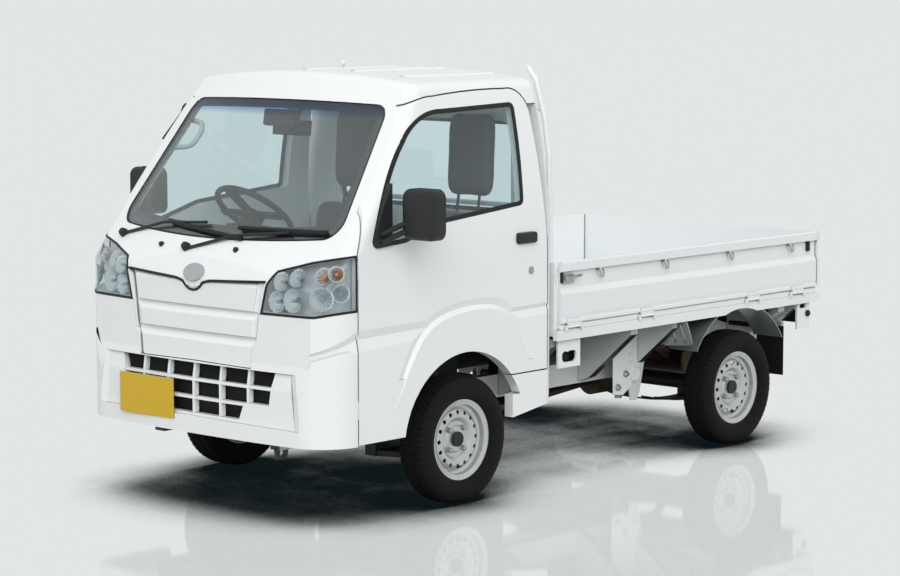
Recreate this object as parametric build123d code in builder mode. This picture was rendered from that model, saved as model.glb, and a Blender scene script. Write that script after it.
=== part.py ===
from build123d import *
import os
from math import atan, cos, radians, sin, sqrt, tan

# A small flat-bed truck with a two-seat cab over its front wheels.
# Millimetres. +Z is up, the front faces -Y and the vehicle's left side is +X.
# The origin is on the ground, under the middle of the truck.

os.makedirs("parts", exist_ok=True)

# ================================================================ driving sizes
LENGTH = 3395.0
WHEELBASE = 1900.0
FRONT_AXLE_Y = -844.0
REAR_AXLE_Y = FRONT_AXLE_Y + WHEELBASE
FRONT_TRACK, REAR_TRACK = 1305.0, 1300.0
RUN_GAP = 0.3          # between a turning piece and what it runs on
SEAT_GAP = 0.3         # between pieces that rest on each other
SHUT_GAP = 6.0         # round doors
SIDES = (("left", 1), ("right", -1))

# wheels
TYRE_R, TYRE_W = 266.0, 145.0
BEAD_R, FLANGE_R, RIM_W = 152.0, 167.0, 101.0
DISC_OUT, DISC_T = 22.0, 5.0       # wheel disc, outboard of the wheel's middle
HUB_R = 31.0
VENT_COUNT, VENT_R, VENT_PCR = 16, 9.0, 112.0
STUD_COUNT, STUD_R, STUD_PCR = 4, 8.0, 50.0
DRUM_R, DRUM_W = 108.0, 55.0

# cab form
CAB_REAR_Y = -284.0
CAB_BASE_Z = 250.0     # the form runs below the sills, which are cut from it
SIDE_X = 731.0
BELT_Z, TUMBLE_R = 1000.0, 2700.0
ROOF_EDGE_X, ROOF_EDGE_Z, ROOF_Z = 631.0, 1724.0, 1766.0
FACE_Y = -LENGTH / 2 + 2.5         # foremost line of the nose
FACE_BOW_R = 6000.0                # bow of the nose in plan
NOSE_CORNER_R, ROOF_R = 190.0, 60.0
# side outline of the nose at the middle: bumper, upright face, lid, and on past the glass
NOSE = ((FACE_Y, 150.0), (FACE_Y, 540.0), (-1680.0, 640.0), (-1680.0, 950.0),
        (-1612.0, 1105.0), (-1212.0, 2005.0), (200.0, 2005.0), (200.0, 150.0))
GLASS_BASE_Y, GLASS_BASE_Z = -1573.0, 1129.0
GLASS_RAKE = 36.9                  # degrees back from upright
GLASS_AXIS_Y = 1300.0              # the windscreen is a cone about this upright line
CORNER_Y = -1482.0                 # where the round front corner meets the flat side
WALL = 45.0                        # whole thickness of doors, roof and walls
GLASS_IN, GLASS_T = 2.0, 5.0       # depth of the glass below the skin, and its thickness

# cab openings
DOOR_FRONT_Y, DOOR_REAR_Y = -1475.0, -336.0
DOOR_BASE_Z, DOOR_TAIL_Z = 327.0, 511.0
DOOR_TAIL_R = 38.0
# door outline, y and z: straight sill, front edge; arcs by middle and end up the pillar and
# over the roof to the rear edge; then straight down again
DOOR_POINTS = [(-600.0, DOOR_TAIL_Z), (-600.0, DOOR_BASE_Z), (DOOR_FRONT_Y, DOOR_BASE_Z),
               (DOOR_FRONT_Y, 1077.0), (-1443.0, 1152.0), (-1299.0, 1428.0), (-1156.0, 1614.0),
               (-1064.0, 1656.0), (-955.0, 1672.0), (-740.0, 1687.0), (-510.0, 1690.0),
               (-420.0, 1662.0), (-383.0, 1590.0), (DOOR_REAR_Y - 4, 1060.0),
               (DOOR_REAR_Y, 800.0), (DOOR_REAR_Y, DOOR_TAIL_Z)]
ARCH_R, ARCH_Z, ARCH_REAR_Y = 371.0, 262.0, -556.0
SILL_BASE_Z, SILL_TAIL_Z = 326.0, 362.0
ROOF_JOINT_Z = 1628.0              # the roof panel meets the pillars and back here
ROOF_RIBS, RIB_Y = (-420.0, -140.0, 140.0, 420.0), (-900.0, -345.0)
RIB_W, RIB_H = 26.0, 3.0
FLOOR_Z, FLOOR_T = 400.0, 22.0
DECK_Z = 662.0                     # raised floor under the seats, over the engine
RISER_Y = -1165.0
FIREWALL_Y, FIREWALL_T = -1597.0, 20.0
REAR_WINDOW_X, REAR_WINDOW_Z = (-520.0, 520.0), (1150.0, 1545.0)
NOSE_BASE_Z = 322.0

# load bed
BED_FRONT_Y, BED_REAR_Y = -262.0, 1688.0
BED_X = 727.0
BED_Z, BED_T = 662.0, 28.0
BED_RAIL_Z, BED_RAIL_W = 616.0, 26.0
GATE_BASE_Z, GATE_TOP_Z = 690.0, 951.0
GATE_X, GATE_T = 730.0, 25.0
HINGE_OUT, HINGE_Z, HINGE_R = 4.5, 672.0, 5.0
GATE_END_GAP = 6.0
HEADBOARD_T = 22.0

# chassis
RAIL_X, RAIL_W, RAIL_H = 345.0, 55.0, 100.0
# middle line of a side rail: y, z
RAIL_LINE = ((-1560.0, 325.0), (-1130.0, 325.0), (-960.0, 388.0), (620.0, 388.0),
             (880.0, 500.0), (1270.0, 500.0), (1430.0, 452.0), (1670.0, 452.0))
SPRING_X, SPRING_W = 430.0, 60.0
AXLE_R, DIFF_R = 36.0, 104.0
PIN_TOP = (520.0, FRONT_AXLE_Y, 624.0)      # upper and lower ends of the left steering axis
PIN_BASE = (600.0, FRONT_AXLE_Y, 182.0)

# steering wheel
WHEEL_AT = (-330.0, -1020.0, 1150.0)
COLUMN_RAKE = 50.0                 # degrees below level, towards the front
STEER_R, STEER_TUBE_R = 178.0, 13.0

# ================================================================ helpers


def save(piece, name):
    """Label a finished piece and write its file."""
    piece.label = name
    export_step(piece, f"parts/{name}.step")


def block(x0, x1, y0, y1, z0, z1):
    """A plain block between two corners."""
    return Pos((x0 + x1) / 2, (y0 + y1) / 2, (z0 + z1) / 2) * Box(x1 - x0, y1 - y0, z1 - z0)


def rod(start, end, radius):
    """A round bar between two points."""
    way = Vector(*end) - Vector(*start)
    place = Plane(origin=start, z_dir=way)
    return place * Cylinder(radius, way.length, align=(Align.CENTER, Align.CENTER, Align.MIN))


def through(sketch, way, amount, both=False):
    """A cutting body: a sketch extruded along a direction."""
    return Part() + extrude(sketch, amount=amount, dir=way, both=both)


def slab(points, plane, amount, both=False):
    """A plate of a straight-sided outline, drawn on a plane."""
    with BuildPart() as plate:
        with BuildSketch(plane):
            with BuildLine():
                Polyline(*points, close=True)
            make_face()
        extrude(amount=amount, both=both)
    return plate.part


def mirrored(piece):
    """The same piece on the other side of the truck."""
    return piece.mirror(Plane.YZ)


def on_side(piece, side):
    """A left-hand piece as it is, or its mirror image for the right."""
    return piece if side > 0 else mirrored(piece)


# ================================================================ cab form


def glass_y(z):
    """The windscreen line's y at height z, at the middle of the cab."""
    return GLASS_BASE_Y + (z - GLASS_BASE_Z) * tan(radians(GLASS_RAKE))


def sector(axis_y, half, outline, inset):
    """The front sector of a body of revolution about an upright line, from its y, z outline."""
    turn = radians(half)
    place = Plane(origin=(0, axis_y, 0), x_dir=(-sin(turn), -cos(turn), 0),
                  z_dir=(-cos(turn), sin(turn), 0))
    with BuildPart() as body:
        with BuildSketch(place):
            with BuildLine():
                Polyline(*[(axis_y - y, z) for y, z in outline], close=True)
            make_face()
            if inset:
                offset(amount=-inset, kind=Kind.INTERSECTION)
        revolve(axis=Axis((0, axis_y, 0), (0, 0, 1)), revolution_arc=2 * half)
    return body.part


def cab_form(inset):
    """The cab's closed outer form, drawn in by inset on every face."""
    glass_line = ((glass_y(100), 100), (glass_y(1950), 1950), (200, 1950), (200, 100))
    screen = sector(GLASS_AXIS_Y, 40, glass_line, inset)
    nose = sector(FACE_Y + FACE_BOW_R, 14, NOSE, inset)
    with BuildPart() as form:
        # sides, tumblehome and crowned roof, across the truck
        with BuildSketch(Plane.XZ):
            with BuildLine():
                side = Line((SIDE_X, CAB_BASE_Z), (SIDE_X, BELT_Z))
                lean = RadiusArc(side @ 1, (ROOF_EDGE_X, ROOF_EDGE_Z), -TUMBLE_R)
                ThreePointArc(lean @ 1, (0, ROOF_Z), (-ROOF_EDGE_X, ROOF_EDGE_Z))
                mirror(side, about=Plane.YZ)
                mirror(lean, about=Plane.YZ)
                Line((-SIDE_X, CAB_BASE_Z), (SIDE_X, CAB_BASE_Z))
            make_face()
            if inset:
                offset(amount=-inset, kind=Kind.INTERSECTION)
        extrude(amount=LENGTH)
        split(bisect_by=Plane.XZ.offset(-(CAB_REAR_Y - inset)), keep=Keep.TOP)
        # the windscreen's cone, rounded into the sides and the roof
        add(screen, mode=Mode.INTERSECT)
        high = form.edges().filter_by(lambda e: e.center().Z > BELT_Z + 50)
        back = form.edges().filter_by(Axis.Z).sort_by(Axis.Y)[-2:]
        fillet(high + back, max(ROOF_R - inset, 12))
        # the nose and its round corners in plan
        add(nose, mode=Mode.INTERSECT)
        corner_x, corner_y = SIDE_X + 1, FACE_Y - 1 + SIDE_X ** 2 / (2 * FACE_BOW_R)
        with BuildSketch(Plane.XY.offset(CAB_BASE_Z - 20)) as plan:
            with BuildLine():
                ThreePointArc((-corner_x, corner_y), (0, FACE_Y - 1), (corner_x, corner_y))
                Polyline((corner_x, corner_y), (corner_x, 0), (-corner_x, 0), (-corner_x, corner_y))
            make_face()
            fillet(plan.vertices().sort_by(Axis.Y)[:2], NOSE_CORNER_R)
            if inset:
                offset(amount=-inset, kind=Kind.INTERSECTION)
        extrude(amount=1700, mode=Mode.INTERSECT)
    return form.part


def grown(points, grow):
    """A clockwise outline's points, each moved outward by grow."""
    moved = []
    for before, here, after in zip(points[-1:] + points[:-1], points, points[1:] + points[:1]):
        way_in = (Vector(*here) - Vector(*before)).normalized()
        way_out = (Vector(*after) - Vector(*here)).normalized()
        out = Vector(-way_in.Y - way_out.Y, way_in.X + way_out.X)
        step = out * (grow / (1 + way_in.dot(way_out)))
        moved.append((here[0] + step.X, here[1] + step.Y))
    return moved


def door_outline(grow):
    """The door's outline seen from the side, grown by grow."""
    points = grown(DOOR_POINTS, grow)
    with BuildSketch(Plane.YZ) as outline:
        with BuildLine():
            Polyline(*points[:5])
            for first in range(4, 12, 2):
                ThreePointArc(*points[first:first + 3])
            Polyline(*points[12:], points[0])
        make_face()
        tail = outline.vertices().filter_by(lambda v: v.Z < 520).sort_by(Axis.Y)[-1:]
        fillet(tail, DOOR_TAIL_R + grow)
    return outline.sketch


def side_window(shrink):
    """The door window's opening seen from the side."""
    with BuildSketch(Plane.YZ) as outline:
        with BuildLine():
            belt = Polyline((-483, 1214), (-992, 1169), (-1201, 1108), (-1400, 1094))
            pillar = ThreePointArc(belt @ 1, (-1300, 1330), (-1150, 1532))
            header = ThreePointArc(pillar @ 1, (-1050, 1597), (-920, 1620))
            Polyline(header @ 1, (-474, 1634), (-483, 1214))
        make_face()
        fillet(outline.vertices().filter_by(lambda v: v.Y > -500 or v.Y < -1390), 24)
        offset(amount=-shrink)
    return outline.sketch


def screen_outline(shrink):
    """The windscreen's outline seen from the front."""
    with BuildSketch(Plane.XZ) as outline:
        with BuildLine():
            base = ThreePointArc((-646, 1133), (0, 1104), (646, 1133))
            Line(base @ 1, (566, 1640))
            ThreePointArc((566, 1640), (0, 1652), (-566, 1640))
            Line((-566, 1640), base @ 0)
        make_face()
        fillet(outline.vertices().filter_by(lambda v: v.Z < 1200), 70)
        fillet(outline.vertices().filter_by(lambda v: v.Z > 1200), 30)
        if shrink:
            offset(amount=-shrink)
    return outline.sketch


def rear_window(shrink):
    """The rear window's outline, looking along the truck."""
    wide, high = (b - a - 2 * shrink for a, b in (REAR_WINDOW_X, REAR_WINDOW_Z))
    with BuildSketch(Plane.XZ) as outline:
        with Locations((sum(REAR_WINDOW_X) / 2, sum(REAR_WINDOW_Z) / 2)):
            RectangleRounded(wide, high, 60)
    return outline.sketch


def face_prism(points, whole, shrink=0.0):
    """A prism over the cab's front, from an outline of x, z points, mirrored if whole."""
    with BuildPart() as prism:
        with BuildSketch(Plane.XZ):
            with BuildLine():
                Polyline(*points, close=True)
            make_face()
            if whole:
                mirror(about=Plane.YZ)
            if shrink:
                offset(amount=-shrink, kind=Kind.INTERSECTION)
        extrude(amount=1800)
    return prism.part & block(-900, 900, -1800, DOOR_FRONT_Y - SHUT_GAP, 200, 1200)


OUTER, INNER = cab_form(0), cab_form(WALL)
GLASS_OUT, GLASS_BACK = cab_form(GLASS_IN), cab_form(GLASS_IN + GLASS_T)

# cutting bodies that neighbours share
LAMP_FACE = [(377, 834), (411, 961), (441, 1009), (583, 1049), (760, 1082), (760, 860), (650, 836)]
GARNISH_HALF = [(0, 618), (327, 613), (333, 701), (355, 722), (372, 843), (389, 931), (405, 958),
                (264, 951), (90, 943), (45, 923), (0, 913)]
BUMPER_HALF = [(0, 200), (760, 200), (760, 860), (650, 836), (377, 834), (371, 834), (355, 722),
               (333, 701), (327, 613), (0, 618)]
ARCH = Pos(0, FRONT_AXLE_Y, ARCH_Z) * Rot(0, 90, 0) * Cylinder(ARCH_R, 2000)
ARCH = ARCH - block(-1100, 1100, ARCH_REAR_Y, 0, 0, ARCH_Z + 160)
DOOR_DEPTH = slab([(672, 100), (672, 1000), (660, 1250), (612, 1560), (578, 1710), (900, 1710),
                   (900, 100)], Plane.XZ, 2000)
DOOR_RAW = through(door_outline(SHUT_GAP), (1, 0, 0), 900) & DOOR_DEPTH
LAMP_RAW = face_prism(LAMP_FACE, False)
LAMP_CUT = LAMP_RAW + mirrored(LAMP_RAW)
GARNISH_CUT = face_prism(GARNISH_HALF, True)
BUMPER_CUT = face_prism(BUMPER_HALF, True)
SCREEN_CUT = through(screen_outline(0), (0, -1, 0), 1800) - block(-900, 900, -1000, 0, 0, 2000)
BACK_CUT = through(rear_window(0), (0, -1, 0), 400) - block(-900, 900, -250, 0, 0, 2000)
UNDER = block(-SIDE_X + WALL, SIDE_X - WALL, RISER_Y, -200, 100, DECK_Z - FLOOR_T)
SILL_CUT = slab([(-620, 100), (-620, SILL_BASE_Z), (-559, SILL_BASE_Z), (-322, SILL_TAIL_Z),
                 (-313, 427), (-200, 600), (-200, 100)], Plane.YZ, 1000, both=True)

# ================================================================ pressed forms
# wheel flare, y and z: base, up the front leg, over the crown, down the rear leg, base
FLARE = [(-1300.0, 300.0), (-1290.0, 440.0), (-1166.0, 659.0), (-1085.0, 752.0), (-985.0, 797.0),
         (-828.0, 820.0), (-687.0, 815.0), (-600.0, 787.0), (-535.0, 722.0), (-440.0, 560.0),
         (-425.0, 300.0)]
FLARE_OUT, FLARE_IN = 6.0, 7.0     # how far the flare stands out of the side, and its groove goes in
FLARE_SLOPE, GROOVE_SLOPE = 20.0, 30.0
# belt groove in the side: height of its upper edge, bottom and lower edge, and its depth
BELT_FRONT, BELT_REAR = (784.0, 744.0, 690.0, 9.0), (794.0, 778.0, 742.0, 6.0)
CORNER_TURN_R, CORNER_DROP = 213.0, 0.352      # the groove's ring round the front corner, and its slope
RECESS_DEPTH = 12.0                # of the grille's field below the bumper's face
# grille field, x and z
RECESS_HALF = [(0, 609), (532, 609), (560, 384), (0, 392)]
RECESS_BEVEL = 36.0


def side_face(points, y):
    """A face across the truck at y, from x, z points."""
    with BuildSketch(Plane.XZ.offset(-y)) as face:
        with BuildLine():
            Polyline(*points, close=True)
        make_face()
    return face.sketch


def level_face(points, z):
    """A level face at height z, from x, y points."""
    with BuildSketch(Plane.XY.offset(z)) as face:
        with BuildLine():
            Polyline(*points, close=True)
        make_face()
    return face.sketch


def flare_face(grow, x):
    """The wheel flare's outline at x, grown by grow."""
    points = grown(FLARE, grow)
    with BuildSketch(Plane.YZ.offset(x)) as face:
        with BuildLine():
            crown = Spline(*points[1:-1])
            Polyline(crown @ 1, points[-1], points[0], crown @ 0)
        make_face()
    return face.sketch


def nose_y(x, z):
    """The bowed nose's y at x, z, in front of its round corners."""
    for (y0, z0), (y1, z1) in zip(NOSE, NOSE[1:]):
        if z0 <= z <= z1:
            return y0 + (y1 - y0) * (z - z0) / (z1 - z0) + x * x / (2 * FACE_BOW_R)
    return FACE_Y


# the groove along the side, then round the front corner, where it runs out
belt_sections = []
for (top, low, foot, depth), y in ((BELT_FRONT, CORNER_Y), (BELT_REAR, CAB_REAR_Y + 10)):
    belt_sections.append(side_face([(SIDE_X + 1, top), (SIDE_X - depth, low), (SIDE_X + 1, foot)], y))
BELT = loft(belt_sections, ruled=True)
top, low, foot, depth = BELT_FRONT
ring_plane = Plane(origin=(SIDE_X - CORNER_TURN_R, CORNER_Y, low), x_dir=(1, 0, 0),
                   z_dir=(0, -cos(atan(CORNER_DROP)), -sin(atan(CORNER_DROP))))
with BuildPart() as ring:
    with BuildSketch(ring_plane):
        with BuildLine():
            Polyline((CORNER_TURN_R + 3, top + 4 - low), (CORNER_TURN_R - depth, 0),
                     (CORNER_TURN_R + 3, foot - 4 - low), close=True)
        make_face()
    revolve(axis=Axis(ring_plane.origin, -ring_plane.y_dir), revolution_arc=88)
BELT_CORNER = ring.part
FLARE_GROOVE = loft([flare_face(GROOVE_SLOPE, SIDE_X + 1), flare_face(0, SIDE_X - FLARE_IN)], ruled=True)
FLARE_GROOVE = FLARE_GROOVE & block(0, 900, -1400, -400, 560, 900)
FLARE_PAD = loft([flare_face(-2, SIDE_X - FLARE_IN), flare_face(-FLARE_SLOPE, SIDE_X + FLARE_OUT)],
                 ruled=True)
FLARE_PAD = FLARE_PAD & slab([(SIDE_X - 40, 420), (SIDE_X, 420), (SIDE_X + FLARE_OUT, 760),
                              (SIDE_X + FLARE_OUT, 900), (SIDE_X - 40, 900)], Plane.XZ, 2000)

# ================================================================ cab panels
panels = OUTER - INNER - DOOR_RAW - mirrored(DOOR_RAW) - LAMP_CUT - GARNISH_CUT - BUMPER_CUT
panels = panels - SCREEN_CUT - BACK_CUT - ARCH - UNDER - SILL_CUT - BELT - mirrored(BELT)
panels = panels - block(-900, 900, -1800, -1000, 200, FLOOR_Z - FLOOR_T)
panels = panels - block(-680, 680, -1800, -200, 200, FLOOR_Z - FLOOR_T)

above = block(-900, 900, -1800, 0, ROOF_JOINT_Z, 1900)
cab_roof = (OUTER & above) - INNER - SCREEN_CUT - DOOR_RAW - mirrored(DOOR_RAW)
roof_arc_r = (ROOF_EDGE_X ** 2 + (ROOF_Z - ROOF_EDGE_Z) ** 2) / (2 * (ROOF_Z - ROOF_EDGE_Z))
for x in ROOF_RIBS:
    z = ROOF_Z - x * x / (2 * roof_arc_r)
    rib = slab([(x - RIB_W, z - 8), (x - RIB_W / 2, z + RIB_H), (x + RIB_W / 2, z + RIB_H),
                (x + RIB_W, z - 8)], Plane.XZ.offset(-RIB_Y[0]), RIB_Y[0] - RIB_Y[1])
    cab_roof = cab_roof + rib
lower = panels - above
cab_back = lower & block(-900, 900, DOOR_REAR_Y + SHUT_GAP, 0, 0, 1900)
firewall = block(-SIDE_X, SIDE_X, FIREWALL_Y, FIREWALL_Y + FIREWALL_T, FLOOR_Z - FLOOR_T, 1130)
cab_front = (lower & block(-900, 900, -1900, -1000, 0, 1900)) + (firewall & INNER)
floor_plates = block(-SIDE_X, SIDE_X, FIREWALL_Y + FIREWALL_T, RISER_Y, FLOOR_Z - FLOOR_T, FLOOR_Z)
floor_plates = floor_plates + block(-SIDE_X, SIDE_X, RISER_Y, RISER_Y + FLOOR_T, FLOOR_Z - FLOOR_T, DECK_Z)
floor_plates = floor_plates + block(-SIDE_X, SIDE_X, RISER_Y, CAB_REAR_Y, DECK_Z - FLOOR_T, DECK_Z)
cab_floor = (floor_plates & INNER) + (lower & block(-900, 900, -1000, DOOR_REAR_Y + SHUT_GAP, 0, 700))
for piece, name in ((cab_roof, "cab_roof"), (cab_back, "cab_back"), (cab_front, "cab_front"),
                    (cab_floor, "cab_floor")):
    save(piece, name)

# ================================================================ glass
windscreen = (through(screen_outline(SEAT_GAP), (0, -1, 0), 1800) & GLASS_OUT) - GLASS_BACK
windscreen = windscreen - block(-900, 900, -1000, 0, 0, 2000)
save(windscreen, "windscreen")
rear_glass = (through(rear_window(SEAT_GAP), (0, -1, 0), 400) & GLASS_OUT) - GLASS_BACK
save(rear_glass, "rear_window")

# ================================================================ front: bumper, grille, lamps
GRILLE_HALF = [(0, 609), (452, 609), (436, 548), (424, 474), (290, 474), (262, 403), (0, 403)]
GRILLE_ROWS = (466.0, 539.5)       # middle heights of the level bars
GRILLE_STEP, GRILLE_BAR = 155.0, 12.0
GRILLE_IN, GRILLE_BAR_DEPTH = 14.0, 24.0       # depth of the bars' faces, and of the bars
# garnish section at the middle, y and z, from the lid seam down
SLATS = [(-1600.0, 975.0), (-1660.0, 966.0), (-1678.0, 936.0), (-1678.0, 842.0), (-1663.0, 838.0),
         (-1663.0, 828.0), (-1677.0, 804.0), (-1677.0, 739.0), (-1661.0, 735.0), (-1661.0, 722.0),
         (-1676.0, 698.0), (-1676.0, 600.0), (-1600.0, 600.0)]
SLAT_ENDS, SLAT_BEVEL = ((330.0, 600.0), (398.0, 966.0)), 34.0
PANEL_GAP = 1.5                    # round the bumper, garnish and lamps
FLANGE_DEPTH = 25.0                # from the garnish's face to the flange that closes its gap
LENS_T, LAMP_RIM, LAMP_DEPTH = 4.0, 12.0, 38.0

shell = OUTER - INNER
recess_face = cab_form(RECESS_DEPTH)
recess = (OUTER - recess_face) & face_prism(RECESS_HALF, True)
bevel_faces = []
for (x, z) in RECESS_HALF[1:3]:
    y = nose_y(x, z)
    bevel_faces.append(level_face([(x - 1, y - 60), (x - 1, y + RECESS_DEPTH), (x + RECESS_BEVEL, y + 2),
                                   (x + RECESS_BEVEL, y - 60)], z))
bevel = loft(bevel_faces, ruled=True)
front_bumper = (shell & face_prism(BUMPER_HALF, True, PANEL_GAP)) - face_prism(GRILLE_HALF, True)
front_bumper = front_bumper - block(-900, 900, -1800, 0, 0, NOSE_BASE_Z)
for tool in (recess, bevel, mirrored(bevel), BELT, mirrored(BELT), BELT_CORNER, mirrored(BELT_CORNER)):
    front_bumper = front_bumper - tool
save(front_bumper, "front_bumper")

half = GRILLE_BAR / 2
bars = Part()
for height in GRILLE_ROWS:
    bars = bars + block(-460, 460, -1800, -1600, height - half, height + half)
for column in range(-2, 3):
    x = column * GRILLE_STEP
    bars = bars + block(x - half, x + half, -1800, -1600, 400, 612)
bar_zone = (cab_form(GRILLE_IN) - cab_form(GRILLE_IN + GRILLE_BAR_DEPTH))
front_grille = (bar_zone & face_prism(GRILLE_HALF, True, SEAT_GAP)) & bars
save(front_grille, "front_grille")

# garnish: three slats, each lapped over the next, on one bowed panel with bevelled ends
garnish_body = sector(FACE_Y + FACE_BOW_R, 14, SLATS, 0)
garnish_flange = (cab_form(FLANGE_DEPTH) - INNER) & face_prism(GARNISH_HALF, True, SEAT_GAP)
garnish = ((OUTER - INNER) & garnish_body) & face_prism(GARNISH_HALF, True, PANEL_GAP)
end_faces = []
for x, z in SLAT_ENDS:
    y = nose_y(x, z)
    end_faces.append(level_face([(x - SLAT_BEVEL, y - 60), (x - SLAT_BEVEL, y + 1), (x, y + 18),
                                 (x + 20, y + 18), (x + 20, y - 60)], z))
slat_end = loft(end_faces, ruled=True)
garnish = garnish - slat_end - mirrored(slat_end) + garnish_flange
save(garnish, "front_garnish")

lens_back = cab_form(LENS_T)
lamp_inner = cab_form(LENS_T + SEAT_GAP)
lamp_floor = cab_form(LAMP_DEPTH)
lamp_block = shell & face_prism(LAMP_FACE, False, PANEL_GAP)
lens = lamp_block - lens_back
bowl = (lamp_block & lamp_inner) - (face_prism(LAMP_FACE, False, LAMP_RIM) - lamp_floor)
save(Part() + lens + mirrored(lens), "headlamp_lenses")
save(Part() + bowl + mirrored(bowl), "headlamps")

# number plate, blank
PLATE_X, PLATE_Z, PLATE_W, PLATE_H, PLATE_T = -268.0, 451.0, 330.0, 165.0, 2.0
PLATE_Y = FACE_Y - 2.5
licence_plate = block(PLATE_X - PLATE_W / 2, PLATE_X + PLATE_W / 2, PLATE_Y, PLATE_Y + PLATE_T,
                      PLATE_Z - PLATE_H / 2, PLATE_Z + PLATE_H / 2)
for along, depth in ((-105, RECESS_DEPTH), (105, GRILLE_IN)):      # one foot on the bumper, one on the bars
    foot = block(PLATE_X + along - 10, PLATE_X + along + 10, PLATE_Y + PLATE_T, PLATE_Y + 60,
                 PLATE_Z - 20, PLATE_Z + 20)
    licence_plate = licence_plate + (foot - cab_form(depth - SEAT_GAP))
save(licence_plate, "licence_plate")

# ================================================================ cabin
DASH = [(-1577, 760), (-1577, 1040), (-1500, 1086), (-1300, 1072), (-1225, 1030), (-1200, 950),
        (-1240, 830), (-1330, 740), (-1470, 740)]
COLUMN_WAY = Vector(0, -cos(radians(COLUMN_RAKE)), -sin(radians(COLUMN_RAKE)))
COLUMN_R, SHAFT_R = 44.0, 11.0


def on_column(distance):
    """A point on the steering column, measured down from the steering wheel's middle."""
    return Vector(*WHEEL_AT) + COLUMN_WAY * distance


dash_half_x = SIDE_X - WALL - 12
DASH_TOP_X = 648.0
column_hole = rod(on_column(20), on_column(700), COLUMN_R + SEAT_GAP)
dashboard = (slab(DASH, Plane.YZ, dash_half_x, both=True) & cab_form(WALL + 1)) - column_hole
# room for the door pillars to swing past
swing = block(DASH_TOP_X, 900, -1500, -900, 960, 1400)
dashboard = dashboard - swing - mirrored(swing)
save(dashboard, "dashboard")

steering_column = rod(on_column(39 + SEAT_GAP), on_column(260), COLUMN_R)
steering_column = steering_column + rod(on_column(260), on_column(690), SHAFT_R)
for side in (-1, 1):
    stalk_root = on_column(60)
    steering_column = steering_column + rod(stalk_root, stalk_root + Vector(side * 150, 20, -12), 7)
save(steering_column, "steering_column")

rim_plane = Plane(origin=WHEEL_AT, x_dir=(1, 0, 0), z_dir=-COLUMN_WAY)
ring = rim_plane * Torus(STEER_R, STEER_TUBE_R)
hub = rim_plane * Pos(0, 0, -22) * Cylinder(52, 34)
spokes = rim_plane * Pos(0, -12, -14) * Box(2 * STEER_R, 36, 14)
foot_spoke = rim_plane * Pos(0, -STEER_R / 2, -14) * Box(50, STEER_R, 14)
steering_wheel = Part() + ring + hub + (spokes + foot_spoke)
save(steering_wheel, "steering_wheel")

SEAT_X = 340.0
SEAT_CUSHION = [(-985, DECK_Z), (-985, 770), (-960, 800), (-560, 778), (-480, 800), (-480, DECK_Z)]
SEAT_BACK = [(-470, 800), (-585, 790), (-520, 1180), (-465, 1290), (-462, 1540), (-440, 1570),
             (-400, 1570), (-375, 1540), (-372, 1290), (-350, 1180), (-400, 800)]
CUSHION_W, BACK_W, HEAD_W = 480.0, 450.0, 270.0
seat = slab(SEAT_CUSHION, Plane.YZ.offset(SEAT_X), CUSHION_W / 2, both=True)
back = slab(SEAT_BACK, Plane.YZ.offset(SEAT_X), BACK_W / 2, both=True)
taper = slab([(-BACK_W / 2, 700), (-BACK_W / 2, 1120), (-HEAD_W / 2, 1270), (-HEAD_W / 2, 1520),
              (-HEAD_W / 2 + 50, 1572), (HEAD_W / 2 - 50, 1572), (HEAD_W / 2, 1520),
              (HEAD_W / 2, 1270), (BACK_W / 2, 1120), (BACK_W / 2, 700)],
             Plane.XZ, 1000, both=True)
back = back & (Pos(SEAT_X, 0, 0) * taper)
seat_support = block(SEAT_X - 190, SEAT_X + 190, -480, -400, DECK_Z, 800)
seats = Part() + (seat + back + seat_support)
seats = seats + mirrored(seats)
save(seats, "seats")

# ================================================================ doors
# hinge pins in the shut gap: z from, z to
DOOR_PINS, DOOR_PIN_R = ((430.0, 500.0), (980.0, 1050.0)), SHUT_GAP / 2 - 0.4
DOOR_HINGE_X, DOOR_HINGE_Y = SIDE_X - 4, DOOR_FRONT_Y - SHUT_GAP / 2
for name, side in SIDES:
    raw = through(door_outline(0), (1, 0, 0), 900) & DOOR_DEPTH
    hole = through(side_window(0), (1, 0, 0), 900)
    arch = Pos(0, FRONT_AXLE_Y, ARCH_Z) * Rot(0, 90, 0) * Cylinder(ARCH_R, 2000)
    pressed = (shell & raw) - BELT - FLARE_GROOVE + (FLARE_PAD & raw)
    door = pressed - hole - arch
    for z0, z1 in DOOR_PINS:
        leaf = block(DOOR_HINGE_X - 3, DOOR_HINGE_X + 3, DOOR_HINGE_Y, DOOR_FRONT_Y + 1, z0, z1)
        pin = rod((DOOR_HINGE_X, DOOR_HINGE_Y, z0), (DOOR_HINGE_X, DOOR_HINGE_Y, z1), DOOR_PIN_R)
        door = door + leaf + pin
    save(on_side(door, side), f"door_{name}")
    pane = (through(side_window(SEAT_GAP), (1, 0, 0), 900) & GLASS_OUT) - GLASS_BACK
    pane = pane & block(300, 900, -2000, 0, 900, 2000)
    save(on_side(pane, side), f"door_{name}_glass")


# mirrors and handles ride on the doors; the driver's mirror stands further back
MIRROR_Z, MIRROR_DEPTH, MIRROR_CORNER = (1127.0, 1329.0), 75.0, 38.0
MIRRORS = (("left", 1, (779.0, 955.0), -1290.0), ("right", -1, (779.0, 955.0), -1190.0))   # x span, y front
ARM_R, ARM_ROOT, ARM_RISE, ARM_APART = 11.0, (736.0, -1350.0, 1118.0), 42.0, 32.0
HANDLE_OUT = 16.0
HANDLE_Y, HANDLE_Z = (-536.0, -414.0), (1051.0, 1097.0)
base_patch = through(side_window(SEAT_GAP), (1, 0, 0), 900) & block(600, 900, -1500, -1290, 1000, 1400)
mirror_base = (base_patch & block(600, SIDE_X + 8, -1500, 0, 0, 1400)) - GLASS_OUT


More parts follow.
